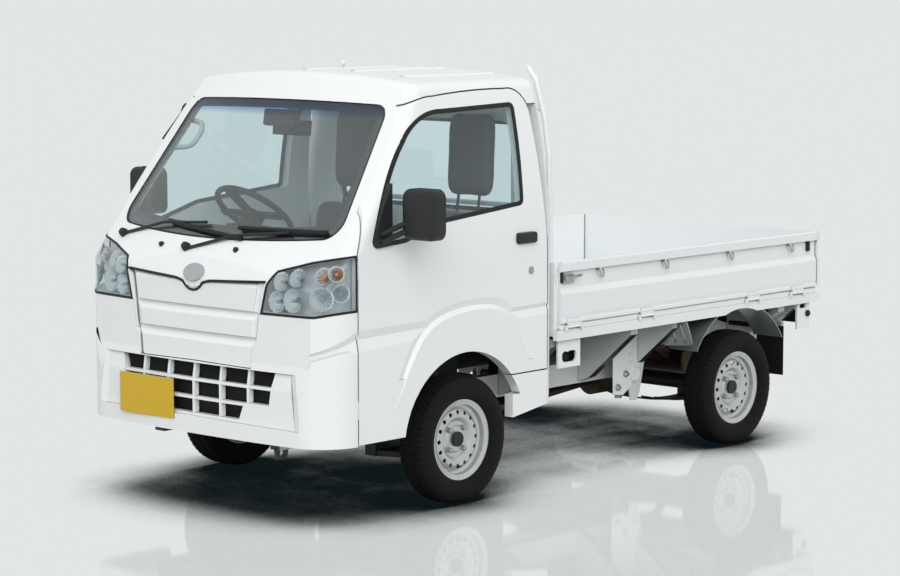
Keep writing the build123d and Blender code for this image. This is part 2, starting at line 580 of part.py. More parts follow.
def mirror_on(span, y_front):
    """A door mirror drawn on the left: housing across the span, two arms and their base."""
    with BuildPart() as housing:
        with BuildSketch(Plane.XZ.offset(-y_front - MIRROR_DEPTH)):
            with Locations((sum(span) / 2, sum(MIRROR_Z) / 2)):
                RectangleRounded(span[1] - span[0], MIRROR_Z[1] - MIRROR_Z[0], MIRROR_CORNER)
        extrude(amount=MIRROR_DEPTH)
        fillet(housing.edges().group_by(Axis.Y)[0], 26)
    piece = mirror_base + housing.part
    x, y, z = ARM_ROOT
    for rise in (0, ARM_APART):
        arm = rod((x, y, z + rise), (span[0] + 21, y_front + 10, z + rise + ARM_RISE), ARM_R)
        piece = piece + (arm - OUTER)
    return piece


with BuildPart() as handle:
    with BuildSketch(Plane.YZ.offset(SIDE_X - 4)):
        with Locations((sum(HANDLE_Y) / 2, sum(HANDLE_Z) / 2)):
            RectangleRounded(HANDLE_Y[1] - HANDLE_Y[0], HANDLE_Z[1] - HANDLE_Z[0], 12)
    extrude(amount=HANDLE_OUT + 4)
    fillet(handle.edges().group_by(Axis.X)[-1], 9)
handle_piece = handle.part - OUTER
for name, side, span, y_front in MIRRORS:
    save(on_side(Part() + mirror_on(span, y_front), side), f"mirror_{name}")
    save(on_side(Part() + handle_piece, side), f"door_handle_{name}")

# ================================================================ wheels and axles
WHEELS = (("front_left", 1, FRONT_TRACK / 2, FRONT_AXLE_Y), ("front_right", -1, FRONT_TRACK / 2, FRONT_AXLE_Y),
          ("rear_left", 1, REAR_TRACK / 2, REAR_AXLE_Y), ("rear_right", -1, REAR_TRACK / 2, REAR_AXLE_Y))
# tyre section beside the wheel's middle plane: out along the axle, radius
TYRE_HALF = ((0, TYRE_R), (46, TYRE_R - 1), (60, TYRE_R - 10), (70, TYRE_R - 34), (72.5, 218),
             (66, 186), (49.4, 167.8), (44.6, 158.6), (41.6, 150.6), (0, 150.6))
# rim section from the outer lip to the inner one: out along the axle, radius
RIM_LINE = ((50, FLANGE_R), (45, 158), (42, 150), (22, 147), (14, 132), (-14, 132), (-20, 147),
            (-44, 150), (-46, 158), (-50.5, FLANGE_R))
RIM_T = 4.0
DISC_LINE = ((12, 132), (24, 124), (30, 112), (27, 90), (14, 74), (14, 58), (22, 50), (22, HUB_R + RUN_GAP))


def turned(points, x, y, side):
    """A wheel piece turned about the axle line from its out, radius outline."""
    place = Plane(origin=(x, y, TYRE_R), x_dir=(side, 0, 0), z_dir=(0, -side, 0))
    with BuildPart() as piece:
        with BuildSketch(place):
            with BuildLine():
                Polyline(*points, close=True)
            make_face()
        revolve(axis=Axis((x, y, TYRE_R), (1, 0, 0)))
    return piece.part


def thickened(line, depth):
    """Close a section line into a thin outline, depth nearer to the axle."""
    return list(line) + [(a, r - depth) for a, r in reversed(line)]


for name, side, across, y in WHEELS:
    x = side * across
    tyre = turned(TYRE_HALF + tuple((-a, r) for a, r in reversed(TYRE_HALF[1:-1])), x, y, side)
    save(tyre, f"tyre_{name}")
    rim = turned(thickened(RIM_LINE, RIM_T), x, y, side)
    disc_outline = [(a, r) for a, r in DISC_LINE] + [(a - DISC_T, r) for a, r in reversed(DISC_LINE)]
    rim = rim + turned(disc_outline, x, y, side)
    with BuildPart() as holes:
        with BuildSketch(Plane.YZ.offset(x - 100)):
            with Locations((y, TYRE_R)):
                with PolarLocations(VENT_PCR, VENT_COUNT):
                    Circle(VENT_R)
        extrude(amount=200)
    with BuildPart() as nuts:
        with BuildSketch(Plane.YZ.offset(x + side * 14)):
            with Locations((y, TYRE_R)):
                with PolarLocations(STUD_PCR + 9, STUD_COUNT, 45):
                    Circle(STUD_R)
        extrude(amount=side * 16)
    rim = rim - holes.part + nuts.part
    save(Part() + rim, f"rim_{name}")

# ================================================================ chassis
def rail_height(y):
    """Height of a side rail's middle line at y."""
    for (y0, z0), (y1, z1) in zip(RAIL_LINE, RAIL_LINE[1:]):
        if y0 <= y <= y1:
            return z0 + (z1 - z0) * (y - y0) / (y1 - y0)
    return RAIL_LINE[-1][1]


rail_outline = [(y, z + RAIL_H / 2) for y, z in RAIL_LINE]
rail_outline += [(y, z - RAIL_H / 2) for y, z in reversed(RAIL_LINE)]
rail = slab(rail_outline, Plane.YZ.offset(RAIL_X), RAIL_W / 2, both=True)
# the rail with the seating gap over it, cut from what stands on it
rail_zone = rail + Pos(0, 0, SEAT_GAP) * rail
# cross members: y, half depth, height of the bar
CROSS_MEMBERS = ((-1520.0, 40.0, 70.0), (-240.0, 30.0, 60.0), (560.0, 30.0, 70.0),
                 (1300.0, 30.0, 60.0), (1640.0, 25.0, 70.0))
rail_in, rail_out = RAIL_X - RAIL_W / 2, RAIL_X + RAIL_W / 2
rails, frame_pieces = rail + mirrored(rail), []        # each welded piece stays a solid of its own
for y, half_y, bar_h in CROSS_MEMBERS:
    z = rail_height(y)
    reach = rail_in - SEAT_GAP
    frame_pieces.append(block(-reach, reach, y - half_y, y + half_y, z - bar_h / 2, z + bar_h / 2))
# arms that carry the bed's outriggers: y, half depth
for y, half_y in ((-215.0, 25.0), (330.0, 25.0), (630.0, 20.0), (1450.0, 25.0), (1570.0, 25.0)):
    for side in (1, -1):
        post = slab([(0, rail_height(y) - RAIL_H / 2 + 8), (0, BED_RAIL_Z), (300, BED_RAIL_Z),
                     (300, BED_RAIL_Z - 34), (60, rail_height(y) - 20)],
                    Plane(origin=(rail_out + SEAT_GAP, y, 0), x_dir=(1, 0, 0), z_dir=(0, -1, 0)),
                    half_y, both=True)
        frame_pieces.append(post if side > 0 else mirrored(post))
# pads between the rails and the bed floor
for y, half_y in ((-215.0, 25.0), (330.0, 25.0), (1450.0, 25.0), (1570.0, 25.0)):
    pad = block(rail_in, rail_out, y - half_y, y + half_y, rail_height(y), BED_Z - BED_T) - rail_zone
    frame_pieces += [pad, mirrored(pad)]
# rubber mounts between the rails and the cab floor
for y in (-1460.0, -1220.0):
    mount = block(rail_in + 8, rail_out - 8, y - 30, y + 30, rail_height(y), FLOOR_Z - FLOOR_T - SEAT_GAP) - rail_zone
    frame_pieces += [mount, mirrored(mount)]
# spring hangers and the lower-arm mounts
HANGER_FRONT, HANGER_REAR = (600.0, 268.0), (1512.0, 330.0)      # spring eye: y, z
SPRING_BASE_Z = 214.0
hang_x0, hang_x1 = rail_out + SEAT_GAP, SPRING_X + SPRING_W / 2 + 6
for (y, z), reach in ((HANGER_FRONT, 70), (HANGER_REAR, 40)):
    top = rail_height(y) + 30
    plate = slab([(y - reach, top), (y + reach, top), (y + 34, z), (y + 10, z - 34), (y - 30, z - 30)],
                 Plane.YZ.offset(hang_x0), 8)
    outer = slab([(y - reach, top), (y + reach, top), (y + 34, z), (y + 10, z - 34), (y - 30, z - 30)],
                 Plane.YZ.offset(hang_x1 - 6), 6)
    cap = block(hang_x0, hang_x1, y - reach, y + reach, top - 6, top)
    pin = rod((hang_x0, y, z), (hang_x1, y, z), 9)
    hanger = plate + outer + cap + pin
    frame_pieces += [hanger, mirrored(hanger)]
# tow eyes under the rail ends, with the hole through each plate
TOW_EYE_R, TOW_PLATE_T = 13.0, 10.0
for y in (-1525.0, 1600.0):
    z = rail_height(y) - RAIL_H / 2
    plate = slab([(y - 40, z + 10), (y + 40, z + 10), (y + 26, z - 42), (y - 26, z - 42)],
                 Plane.YZ.offset(RAIL_X), TOW_PLATE_T / 2, both=True)
    rails = rails + (plate - rod((0, y, z - 18), (900, y, z - 18), TOW_EYE_R))
# rear guard bar
REAR_BAR = (-520.0, 520.0, 1670.0 + SEAT_GAP, 1688.0, 400.0, 500.0)
chassis = rails
for piece in frame_pieces + [block(*REAR_BAR)]:
    chassis = chassis + piece
save(chassis, "chassis_frame")

# leaf springs, with eyes round the hanger pins
EYE_R, LEAF_T = 20.0, 7.0
spring_x = (SPRING_X - SPRING_W / 2 + 1, SPRING_X + SPRING_W / 2 - 1)
with BuildPart() as leaves:
    for step, cut_back in enumerate((0, 130, 230)):
        drop = step * LEAF_T
        with BuildSketch(Plane.YZ.offset(spring_x[0])):
            with BuildLine():
                a = (HANGER_FRONT[0] + cut_back, HANGER_FRONT[1] - 14 - drop - cut_back * 0.09)
                b = (REAR_AXLE_Y, SPRING_BASE_Z - drop)
                c = (HANGER_REAR[0] - cut_back, HANGER_REAR[1] - 14 - drop - cut_back * 0.2)
                low = ThreePointArc(a, b, c)
                high = ThreePointArc(*[(y, z - LEAF_T) for y, z in (a, b, c)])
                Line(low @ 0, high @ 0)
                Line(low @ 1, high @ 1)
            make_face()
        extrude(amount=spring_x[1] - spring_x[0])
springs = leaves.part
for y, z in (HANGER_FRONT, HANGER_REAR):
    eye = rod((spring_x[0], y, z), (spring_x[1], y, z), EYE_R)
    springs = springs + (eye - rod((0, y, z), (900, y, z), 9 + RUN_GAP))
for y, z in (HANGER_FRONT, HANGER_REAR):
    springs = springs - rod((0, y, z), (900, y, z), 9 + RUN_GAP)
saddle = block(spring_x[0] - 2, spring_x[1] + 2, REAR_AXLE_Y - 50, REAR_AXLE_Y + 50,
               SPRING_BASE_Z - 30, TYRE_R - 10)
axle_bar = rod((-560, REAR_AXLE_Y, TYRE_R), (560, REAR_AXLE_Y, TYRE_R), AXLE_R)
springs = springs + (saddle - rod((-900, REAR_AXLE_Y, TYRE_R), (900, REAR_AXLE_Y, TYRE_R), AXLE_R))
shock = rod((250, REAR_AXLE_Y + 60, TYRE_R), (285, REAR_AXLE_Y + 190, 470), 22)
save(Part() + springs + mirrored(springs), "leaf_springs")

# rear axle: tube, differential, brake drums and hub spigots
rear_axle = Part() + axle_bar + Pos(0, REAR_AXLE_Y, TYRE_R) * Sphere(DIFF_R)
rear_axle = rear_axle + rod((0, REAR_AXLE_Y - 190, TYRE_R), (0, REAR_AXLE_Y, TYRE_R), 40)
for side in (1, -1):
    x = side * REAR_TRACK / 2
    face = x + side * (DISC_OUT - DISC_T - RUN_GAP - 8)
    drum = rod((face - side * DRUM_W, REAR_AXLE_Y, TYRE_R), (face, REAR_AXLE_Y, TYRE_R), DRUM_R)
    spigot = rod((face, REAR_AXLE_Y, TYRE_R), (x + side * 34, REAR_AXLE_Y, TYRE_R), HUB_R)
    tube = rod((side * 500, REAR_AXLE_Y, TYRE_R), (face, REAR_AXLE_Y, TYRE_R), AXLE_R)
    rear_axle = rear_axle + drum + spigot + tube
save(rear_axle, "rear_axle")

pin_way = (Vector(*PIN_TOP) - Vector(*PIN_BASE)).normalized()


def on_pin(distance):
    """A point on the left steering axis, measured up from the ball joint."""
    return Vector(*PIN_BASE) + pin_way * distance


BALL_R = 18.0
# front suspension: lower arms and their cross member, fixed; strut and knuckle, which steer
ARM_Z = PIN_BASE[2]
arm = slab([(rail_in, FRONT_AXLE_Y - 130), (rail_in, FRONT_AXLE_Y + 60), (590, FRONT_AXLE_Y + 24),
            (590, FRONT_AXLE_Y - 24)], Plane.XY.offset(ARM_Z - 12), 24)
arm = arm + block(rail_in - 40, rail_in + 20, FRONT_AXLE_Y - 130, FRONT_AXLE_Y + 60, ARM_Z - 12, 345)
cross = block(-rail_in, rail_in, FRONT_AXLE_Y - 60, FRONT_AXLE_Y + 20, 290, 345)
mast_low = rod((RAIL_X, FRONT_AXLE_Y, 330), (RAIL_X, FRONT_AXLE_Y, 345), 10)
front_suspension = cross + arm + mirrored(arm)
front_suspension = front_suspension - rail - mirrored(rail)
ball = rod(on_pin(-BALL_R), on_pin(8 - SEAT_GAP), BALL_R)
arm_eye = rod(on_pin(8 - SEAT_GAP), on_pin(120), 44)
front_suspension = front_suspension - arm_eye - mirrored(arm_eye) + ball + mirrored(ball)
save(front_suspension, "front_suspension")

for name, side in SIDES:
    x = FRONT_TRACK / 2
    face = x + DISC_OUT - DISC_T - RUN_GAP - 8
    hub_mid = (x, FRONT_AXLE_Y, TYRE_R)
    shield = rod((face - DRUM_W, FRONT_AXLE_Y, TYRE_R), (face, FRONT_AXLE_Y, TYRE_R), DRUM_R)
    shield = shield - rod(on_pin(-60), on_pin(40), BALL_R + 2)
    spigot = rod((face, FRONT_AXLE_Y, TYRE_R), (x + 34, FRONT_AXLE_Y, TYRE_R), HUB_R)
    carrier = rod(on_pin(8), on_pin(150), 24) + rod(on_pin(84), (face - 4, FRONT_AXLE_Y, TYRE_R), 40)
    strut = rod(on_pin(140), on_pin(445), 24)
    for turn in range(3):
        strut = strut + rod(on_pin(374 + turn * 22), on_pin(386 + turn * 22), 42)
    knuckle = Part() + shield + spigot + carrier + strut
    knuckle = knuckle & block(0, 900, -1200, -500, 0, DECK_Z - FLOOR_T - 12)
    save(on_side(knuckle, side), f"knuckle_{name}")

# engine block, gearbox included, under the seats
ENGINE = (-215.0, 215.0, -760.0, -330.0, 205.0, 610.0)
engine = block(*ENGINE)
save(Part() + engine, "engine")
propeller_shaft = rod((0, ENGINE[3] - 20, TYRE_R + 60), (0, REAR_AXLE_Y - 170, TYRE_R + 8), 28)
save(Part() + (propeller_shaft - engine - rear_axle), "propeller_shaft")
TANK = (-640.0, -400.0, -160.0, 300.0, 300.0, 540.0)
tank = block(*TANK)
tank = tank.fillet(40, tank.edges().filter_by(Axis.Y))
strap = block(TANK[0] + 60, TANK[1] - 40, 60, 90, TANK[5], BED_RAIL_Z)
for y in (-60.0, 200.0):
    strap = strap + block(TANK[1], -rail_in - RAIL_W - SEAT_GAP, y - 15, y + 15, 360, 420)
save(Part() + tank + strap, "fuel_tank")
exhaust = rod((190, ENGINE[3], 250), (190, 60, 250), 19) + rod((190, 60, 250), (190, 640, 300), 19)
exhaust = exhaust + Pos(190, 60, 250) * Sphere(19)
muffler = rod((190, 610, 300), (190, 870, 300), 68)
save(Part() + exhaust + muffler, "exhaust")

# ================================================================ load bed
DECK_RISE = 3.0                    # of the deck above the edges that carry the gates
bed_in_x = GATE_X - GATE_T
deck_x, edge_z = bed_in_x - 2, BED_Z - DECK_RISE
bed_floor = Part() + block(-deck_x, deck_x, BED_FRONT_Y + HEADBOARD_T + 2, BED_REAR_Y - GATE_T - 2,
                           BED_Z - BED_T, BED_Z)
bed_floor = bed_floor + block(-bed_in_x, bed_in_x, BED_FRONT_Y, BED_REAR_Y - GATE_T, BED_Z - BED_T, edge_z)
for side in (1, -1):
    edge = block(BED_X - BED_RAIL_W, BED_X, BED_FRONT_Y, BED_REAR_Y, BED_RAIL_Z, edge_z)
    lip = block(bed_in_x - 6, BED_X, BED_FRONT_Y, BED_REAR_Y, BED_Z - BED_T, edge_z)
    edge = edge + lip
    bed_floor = bed_floor + (edge if side > 0 else mirrored(edge))
bed_floor = bed_floor + block(-BED_X, BED_X, BED_REAR_Y - GATE_T, BED_REAR_Y - 2, BED_RAIL_Z, edge_z)
bed_floor = bed_floor + block(-BED_X, BED_X, BED_REAR_Y - 40, BED_REAR_Y - 2, BED_RAIL_Z, BED_Z - BED_T)
wheel_arch = Pos(0, REAR_AXLE_Y, TYRE_R) * Rot(0, 90, 0) * Cylinder(TYRE_R + 105, 2000)
wheel_arch = wheel_arch - block(-rail_in - RAIL_W, rail_in + RAIL_W, 0, 2000, 0, 900)
bed_floor = bed_floor - wheel_arch

headboard = block(-bed_in_x, bed_in_x, BED_FRONT_Y, BED_FRONT_Y + HEADBOARD_T, edge_z, GATE_TOP_Z - 6)
save(Part() + headboard, "bed_headboard")

# cab guard: uprights on the headboard, leaning in to the hooked top bar
GUARD_R, GUARD_Y = 12.0, BED_FRONT_Y + 11.0
GUARD_LINE = ((676, GATE_TOP_Z - 5.4), (664, 1400), (640, 1560), (590, 1722), (552, 1768))
GUARD_BARS = (1180.0, 1620.0)
guard = Part()
for (x0, z0), (x1, z1) in zip(GUARD_LINE, GUARD_LINE[1:]):
    guard = guard + rod((x0, GUARD_Y, z0), (x1, GUARD_Y, z1), GUARD_R)
    guard = guard + Pos(x1, GUARD_Y, z1) * Sphere(GUARD_R)
guard = guard + mirrored(guard)
for z, x in ((1180.0, 670.0), (1600.0, 628.0)):
    guard = guard + rod((-x, GUARD_Y, z), (x, GUARD_Y, z), GUARD_R)
save(guard, "cab_guard")

# gates: a slab with a raised top rail, hinged along its foot
GATE_SECTION = ((0, 690), (25, 690), (25, 702), (18, 706), (21, 724), (21, 812), (9, 838), (9, 906),
                (25, 911), (25, 947), (21, 951), (0, 951))       # out from the inner face, height


def gate_body(plane, length):
    """A gate drawn as its section on a plane and run along its length."""
    return slab(GATE_SECTION, plane, length)


gate_y0, gate_y1 = BED_FRONT_Y + HEADBOARD_T + GATE_END_GAP, BED_REAR_Y - GATE_T - GATE_END_GAP
GATE_HINGES = (-160.0, 345.0, 1140.0, 1495.0)
HOOKS = (20.0, 477.0, 961.0, 1436.0)
hinge_x = GATE_X + HINGE_OUT
for name, side in SIDES:
    plane = Plane(origin=(bed_in_x, gate_y0, 0), x_dir=(1, 0, 0), z_dir=(0, -1, 0))
    gate = slab(GATE_SECTION, plane, -(gate_y1 - gate_y0))
    for y in GATE_HINGES:
        leaf = block(GATE_X - 12, GATE_X + 3, y - 45, y + 45, HINGE_Z + 6, GATE_BASE_Z + 14)
        knuckle_pin = rod((hinge_x, y - 45, HINGE_Z), (hinge_x, y + 45, HINGE_Z), HINGE_R)
        gate = gate + leaf + knuckle_pin + block(GATE_X - 4, hinge_x + 3, y - 45, y + 45, HINGE_Z, GATE_BASE_Z)
    for y in HOOKS:
        gate = gate + block(GATE_X - GATE_T + 8, GATE_X + 2, y - 5, y + 5, 884, 914)
    save(on_side(gate, side), f"gate_{name}")

tail_plane = Plane(origin=(-BED_X, BED_REAR_Y - GATE_T, 0), x_dir=(0, 1, 0), z_dir=(1, 0, 0))
tailgate = slab(GATE_SECTION, tail_plane, 2 * BED_X)
tail_hinge_y = BED_REAR_Y + HINGE_OUT
for x in (-560.0, -190.0, 190.0, 560.0):
    leaf = block(x - 45, x + 45, BED_REAR_Y - 12, BED_REAR_Y + 3, HINGE_Z + 6, GATE_BASE_Z + 14)
    pin = rod((x - 45, tail_hinge_y, HINGE_Z), (x + 45, tail_hinge_y, HINGE_Z), HINGE_R)
    tailgate = tailgate + leaf + pin + block(x - 45, x + 45, BED_REAR_Y - 4, tail_hinge_y + 3, HINGE_Z, GATE_BASE_Z)
save(tailgate, "tailgate")

# hinge brackets on the bed's edge rails, an ear at each end of every pin
EAR_T, EAR_DROP = 10.0, 16.0
EARS = (-45.0 - SEAT_GAP - EAR_T, 45.0 + SEAT_GAP)
brackets = Part()
for side in (1, -1):
    for y in GATE_HINGES:
        for along in EARS:
            ear = block(BED_X - 2, hinge_x + 3, y + along, y + along + EAR_T, HINGE_Z - EAR_DROP, HINGE_Z + 8)
            brackets = brackets + (ear if side > 0 else mirrored(ear))
for x in (-560.0, -190.0, 190.0, 560.0):
    for along in EARS:
        brackets = brackets + block(x + along, x + along + EAR_T, BED_REAR_Y - 2, tail_hinge_y + 3,
                                    HINGE_Z - EAR_DROP, HINGE_Z + 8)
# plates hung from the edge rails, with a window: y from, y to, z from, window y from, y to, z from, z to
HUNG_X, HUNG_T = 712.0, 10.0
HUNG = ((-240.0, -93.0, 495.0, -215.0, -118.0, 518.0, 566.0), (1525.0, 1626.0, 493.0, 1545.0, 1600.0, 590.0, 612.0))
for y0, y1, z0, hole_y0, hole_y1, hole_z0, hole_z1 in HUNG:
    plate = block(HUNG_X - HUNG_T, HUNG_X, y0, y1, z0, BED_RAIL_Z + 4)
    plate = plate - Pos((0, (hole_y0 + hole_y1) / 2, (hole_z0 + hole_z1) / 2)) * fillet(
        Box(2000, hole_y1 - hole_y0, hole_z1 - hole_z0).edges().filter_by(Axis.X), (hole_z1 - hole_z0) / 2.2)
    brackets = brackets + plate + mirrored(plate)
save(bed_floor + brackets, "bed_floor")

# rear: lamps, bumper bar, mudguards and flaps
LAMP_X, LAMP_Z, LAMP_W, LAMP_H = 580.0, 555.0, 190.0, 90.0
tail_lamp = block(LAMP_X - LAMP_W / 2, LAMP_X + LAMP_W / 2, BED_REAR_Y - 60, BED_REAR_Y - 12,
                  LAMP_Z - LAMP_H / 2, LAMP_Z + LAMP_H / 2)
lamp_arm = block(LAMP_X - 20, LAMP_X + 20, BED_REAR_Y - 40, BED_REAR_Y - 20, LAMP_Z + LAMP_H / 2, BED_RAIL_Z)
save(Part() + (tail_lamp + lamp_arm) + mirrored(tail_lamp + lamp_arm), "tail_lamps")

GUARD_ARC_R, GUARD_SHEET = 392.0, 4.0
guard_x = (560.0, 724.0)
ring = Pos(sum(guard_x) / 2, REAR_AXLE_Y, TYRE_R) * Rot(0, 90, 0) * Cylinder(GUARD_ARC_R, guard_x[1] - guard_x[0])
ring = ring - Pos(sum(guard_x) / 2, REAR_AXLE_Y, TYRE_R) * Rot(0, 90, 0) * Cylinder(GUARD_ARC_R - GUARD_SHEET, 900)
mudguard = ring & block(500, 800, 600, 1500, 470, BED_Z - BED_T)
mudguard = mudguard - bed_floor
save(Part() + mudguard + mirrored(mudguard), "mudguards")
FLAP_Y, FLAP_T = 1400.0, 5.0
flap = block(guard_x[0] + 8, guard_x[1] - 4, FLAP_Y, FLAP_Y + FLAP_T, 288, 520)
flap_arm = block(guard_x[0] - 160, guard_x[1] - 60, FLAP_Y + FLAP_T, FLAP_Y + FLAP_T + 12, 500, 520)
flap = flap + flap_arm + block(guard_x[0] + 40, guard_x[0] + 60, FLAP_Y + FLAP_T, FLAP_Y + FLAP_T + 12, 500, BED_Z - BED_T)
save(Part() + flap + mirrored(flap), "mud_flaps")

# wipers, lying on the windscreen
def on_screen(x, z, off):
    """A point off by some distance in front of the windscreen at x, z."""
    r = GLASS_AXIS_Y - glass_y(z)
    return (x, GLASS_AXIS_Y - sqrt(r * r - x * x) - off, z)


wipers = Part()
for pivot, elbow, end in (((-551, 1090), (-300, 1150), (-40, 1165)), ((-78, 1064), (150, 1125), (420, 1150))):
    base = on_screen(pivot[0], pivot[1], 8)
    a, b = on_screen(elbow[0], elbow[1], 20), on_screen(end[0], end[1], 16)
    wipers = wipers + (rod(base, a, 6) + rod(a, b, 6) + (Pos(*a) * Sphere(6)))
save(wipers - OUTER, "wipers")
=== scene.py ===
"""Kei truck with a drop-side bed: finishes, fittings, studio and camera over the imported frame."""
import logging
import math
from abc import ABC, abstractmethod
from collections.abc import Callable
from dataclasses import dataclass
from enum import Enum

import bpy
import bmesh
from mathutils import Matrix, Vector
from mathutils.bvhtree import BVHTree


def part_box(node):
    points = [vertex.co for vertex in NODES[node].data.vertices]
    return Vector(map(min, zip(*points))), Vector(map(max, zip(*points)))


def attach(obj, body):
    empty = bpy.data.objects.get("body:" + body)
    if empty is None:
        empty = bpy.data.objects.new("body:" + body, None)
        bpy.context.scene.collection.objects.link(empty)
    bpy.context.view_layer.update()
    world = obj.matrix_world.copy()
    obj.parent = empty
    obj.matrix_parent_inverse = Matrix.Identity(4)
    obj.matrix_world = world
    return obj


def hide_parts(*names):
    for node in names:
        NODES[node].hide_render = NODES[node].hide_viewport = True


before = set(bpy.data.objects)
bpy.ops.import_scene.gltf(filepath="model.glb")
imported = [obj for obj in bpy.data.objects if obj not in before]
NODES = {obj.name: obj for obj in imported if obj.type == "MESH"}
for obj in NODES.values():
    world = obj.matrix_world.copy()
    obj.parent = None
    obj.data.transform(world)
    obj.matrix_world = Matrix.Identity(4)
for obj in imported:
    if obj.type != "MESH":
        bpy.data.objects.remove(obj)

logging.basicConfig(level=logging.INFO, format="%(message)s")
LOG = logging.getLogger("kei_truck")
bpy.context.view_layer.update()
MM = 0.001
AHEAD_Y = -1900.0                      # where lines of sight towards the truck's face start
RIM_SPACING = 14.0                     # between the points of an outline
CLEARANCE = 60.0                       # from which a point is dropped back on a surface

Colour = tuple[float, float, float, float]
Point = tuple[float, float, float]
Pair = tuple[float, float]
Outline = tuple[Pair, ...]
Socket = bpy.types.NodeSocket
Piece = bpy.types.Object


# ---------------------------------------------------------------------------- shader trees
def linear(hex_code: str) -> Colour:
    """Turn an sRGB hex colour into linear RGBA.

    Args:
        hex_code: Colour such as "#E2E6E5".

    Returns:
        Linear red, green and blue, with full opacity.
    """
    raw = hex_code.lstrip("#")
    channels = [int(raw[i:i + 2], 16) / 255 for i in (0, 2, 4)]
    lit = [c / 12.92 if c <= 0.04045 else ((c + 0.055) / 1.055) ** 2.4 for c in channels]
    return lit[0], lit[1], lit[2], 1.0


def dimmed(colour: Colour, share: float) -> Colour:
    """The same colour with its light cut to a share."""
    return tuple(c * share for c in colour[:3]) + (1.0,)


def add_node(tree: bpy.types.NodeTree, kind: str, settings: dict | None = None) -> bpy.types.Node:
    """Add one shader node.

    Args:
        tree: Node tree that gets the node.
        kind: Blender type name without "ShaderNode", such as "TexNoise".
        settings: Attribute or input to its value. An input is found by name or index, and a socket
            given as its value is linked to it.

    Returns:
        The new node.
    """
    node = tree.nodes.new(f"ShaderNode{kind}")
    for name, value in (settings or {}).items():
        if isinstance(value, Socket):
            tree.links.new(value, node.inputs[name])
        elif isinstance(name, str) and hasattr(node, name) and name not in node.inputs:
            setattr(node, name, value)
        else:
            node.inputs[name].default_value = value
    return node


class Graph:
    """A shader tree, with the nodes that the finishes share."""

    def __init__(self, tree: bpy.types.NodeTree) -> None:
        """Start with an empty tree."""
        self.tree = tree
        tree.nodes.clear()

    def add(self, kind: str, settings: dict | None = None) -> bpy.types.Node:
        """Add one node, as add_node does."""
        return add_node(self.tree, kind, settings)

    def spot(self, kind: str = "Object") -> Socket:
        """The piece's own coordinates, or its surface's direction."""
        return self.add("TexCoord").outputs[kind]

    def noise(self, spacing: float, detail: float) -> Socket:
        """Noise with blotches the given number of metres apart."""
        return self.add("TexNoise", {"Scale": 1 / spacing, "Detail": detail,
                                     "Vector": self.spot()}).outputs["Fac"]

    def mix(self, share: Socket, low: Colour | Socket, high: Colour | Socket) -> Socket:
        """Go from one colour to another as a share goes from 0 to 1."""
        return self.add("Mix", {"data_type": "RGBA", 0: share, 6: low, 7: high}).outputs[2]

    def span(self, value: Socket, ends: dict) -> Socket:
        """Map a value from one range to another."""
        return self.add("MapRange", {**ends, "Value": value}).outputs["Result"]

    def math(self, operation: str, *terms: Socket | float) -> Socket:
        """Work out one step of arithmetic."""
        return self.add("Math", {"operation": operation, **dict(enumerate(terms))}).outputs["Value"]

    def bump(self, height: Socket, strength: float, depth_mm: float) -> Socket:
        """Turn a height into the direction of a relief's surface."""
        return self.add("Bump", {"Strength": strength, "Distance": depth_mm * MM,
                                 "Height": height}).outputs["Normal"]

    def share_shaders(self, share: Socket, low: Socket, high: Socket) -> Socket:
        """Go from one shader to another as a share goes from 0 to 1."""
        return self.add("MixShader", {0: share, 1: low, 2: high}).outputs["Shader"]

    def seen_directly(self) -> Socket:
        """1 for light that comes straight to the camera, or by way of glass or a mirror."""
        path = self.add("LightPath").outputs
        mirrored = self.math("MAXIMUM", path["Is Camera Ray"], path["Is Glossy Ray"])
        return self.math("MAXIMUM", mirrored, path["Is Transmission Ray"])


def new_material(name: str) -> tuple[bpy.types.Material, Graph]:
    """Make a material with an empty shader tree.

    Args:
        name: Name of the material.

    Returns:
        The material and its tree.
    """
    material = bpy.data.materials.new(name)
    material.use_nodes = True
    return material, Graph(material.node_tree)


# ---------------------------------------------------------------------------- pieces
def mesh_object(name: str, verts: list, faces: list, smooth: bool = True) -> Piece:
    """Make a mesh object from vertices and faces, in metres.

    Args:
        name: Name of the object.
        verts: Vertex positions.
        faces: Vertex indices of each face.
        smooth: Whether faces shade smooth.

    Returns:
        The linked object.
    """
    mesh = bpy.data.meshes.new(name)
    mesh.from_pydata([tuple(v) for v in verts], [], faces)
    mesh.validate()
    for poly in mesh.polygons:
        poly.use_smooth = smooth
    obj = bpy.data.objects.new(name, mesh)
    bpy.context.scene.collection.objects.link(obj)
    return obj


def dress(finish: "Finish", *nodes: str) -> None:
    """Give CAD nodes one finish in all their material slots.

    Args:
        finish: The finish.
        nodes: Names of the CAD nodes.
    """
    for node in nodes:
        for each in NODES[node].material_slots:
            each.material = finish.material
        LOG.info("%s dressed in %s", node, finish.material.name)


def place(piece: Piece, finish: "Finish", body: str = "truck", slot: str = "black_plastic") -> Piece:
    """Give a new piece its finish and its body, and report it.

    Args:
        piece: The new object, already where it belongs.
        finish: The finish that it wears.
        body: The CAD body that it moves with.
        slot: The record's material slot that it takes its finish from; not used.

    Returns:
        The same object.
    """
    piece.data.materials.clear()
    piece.data.materials.append(finish.material)
    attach(piece, body)
    LOG.info("%s: %s on %s", piece.name, finish.material.name, body)
    return piece


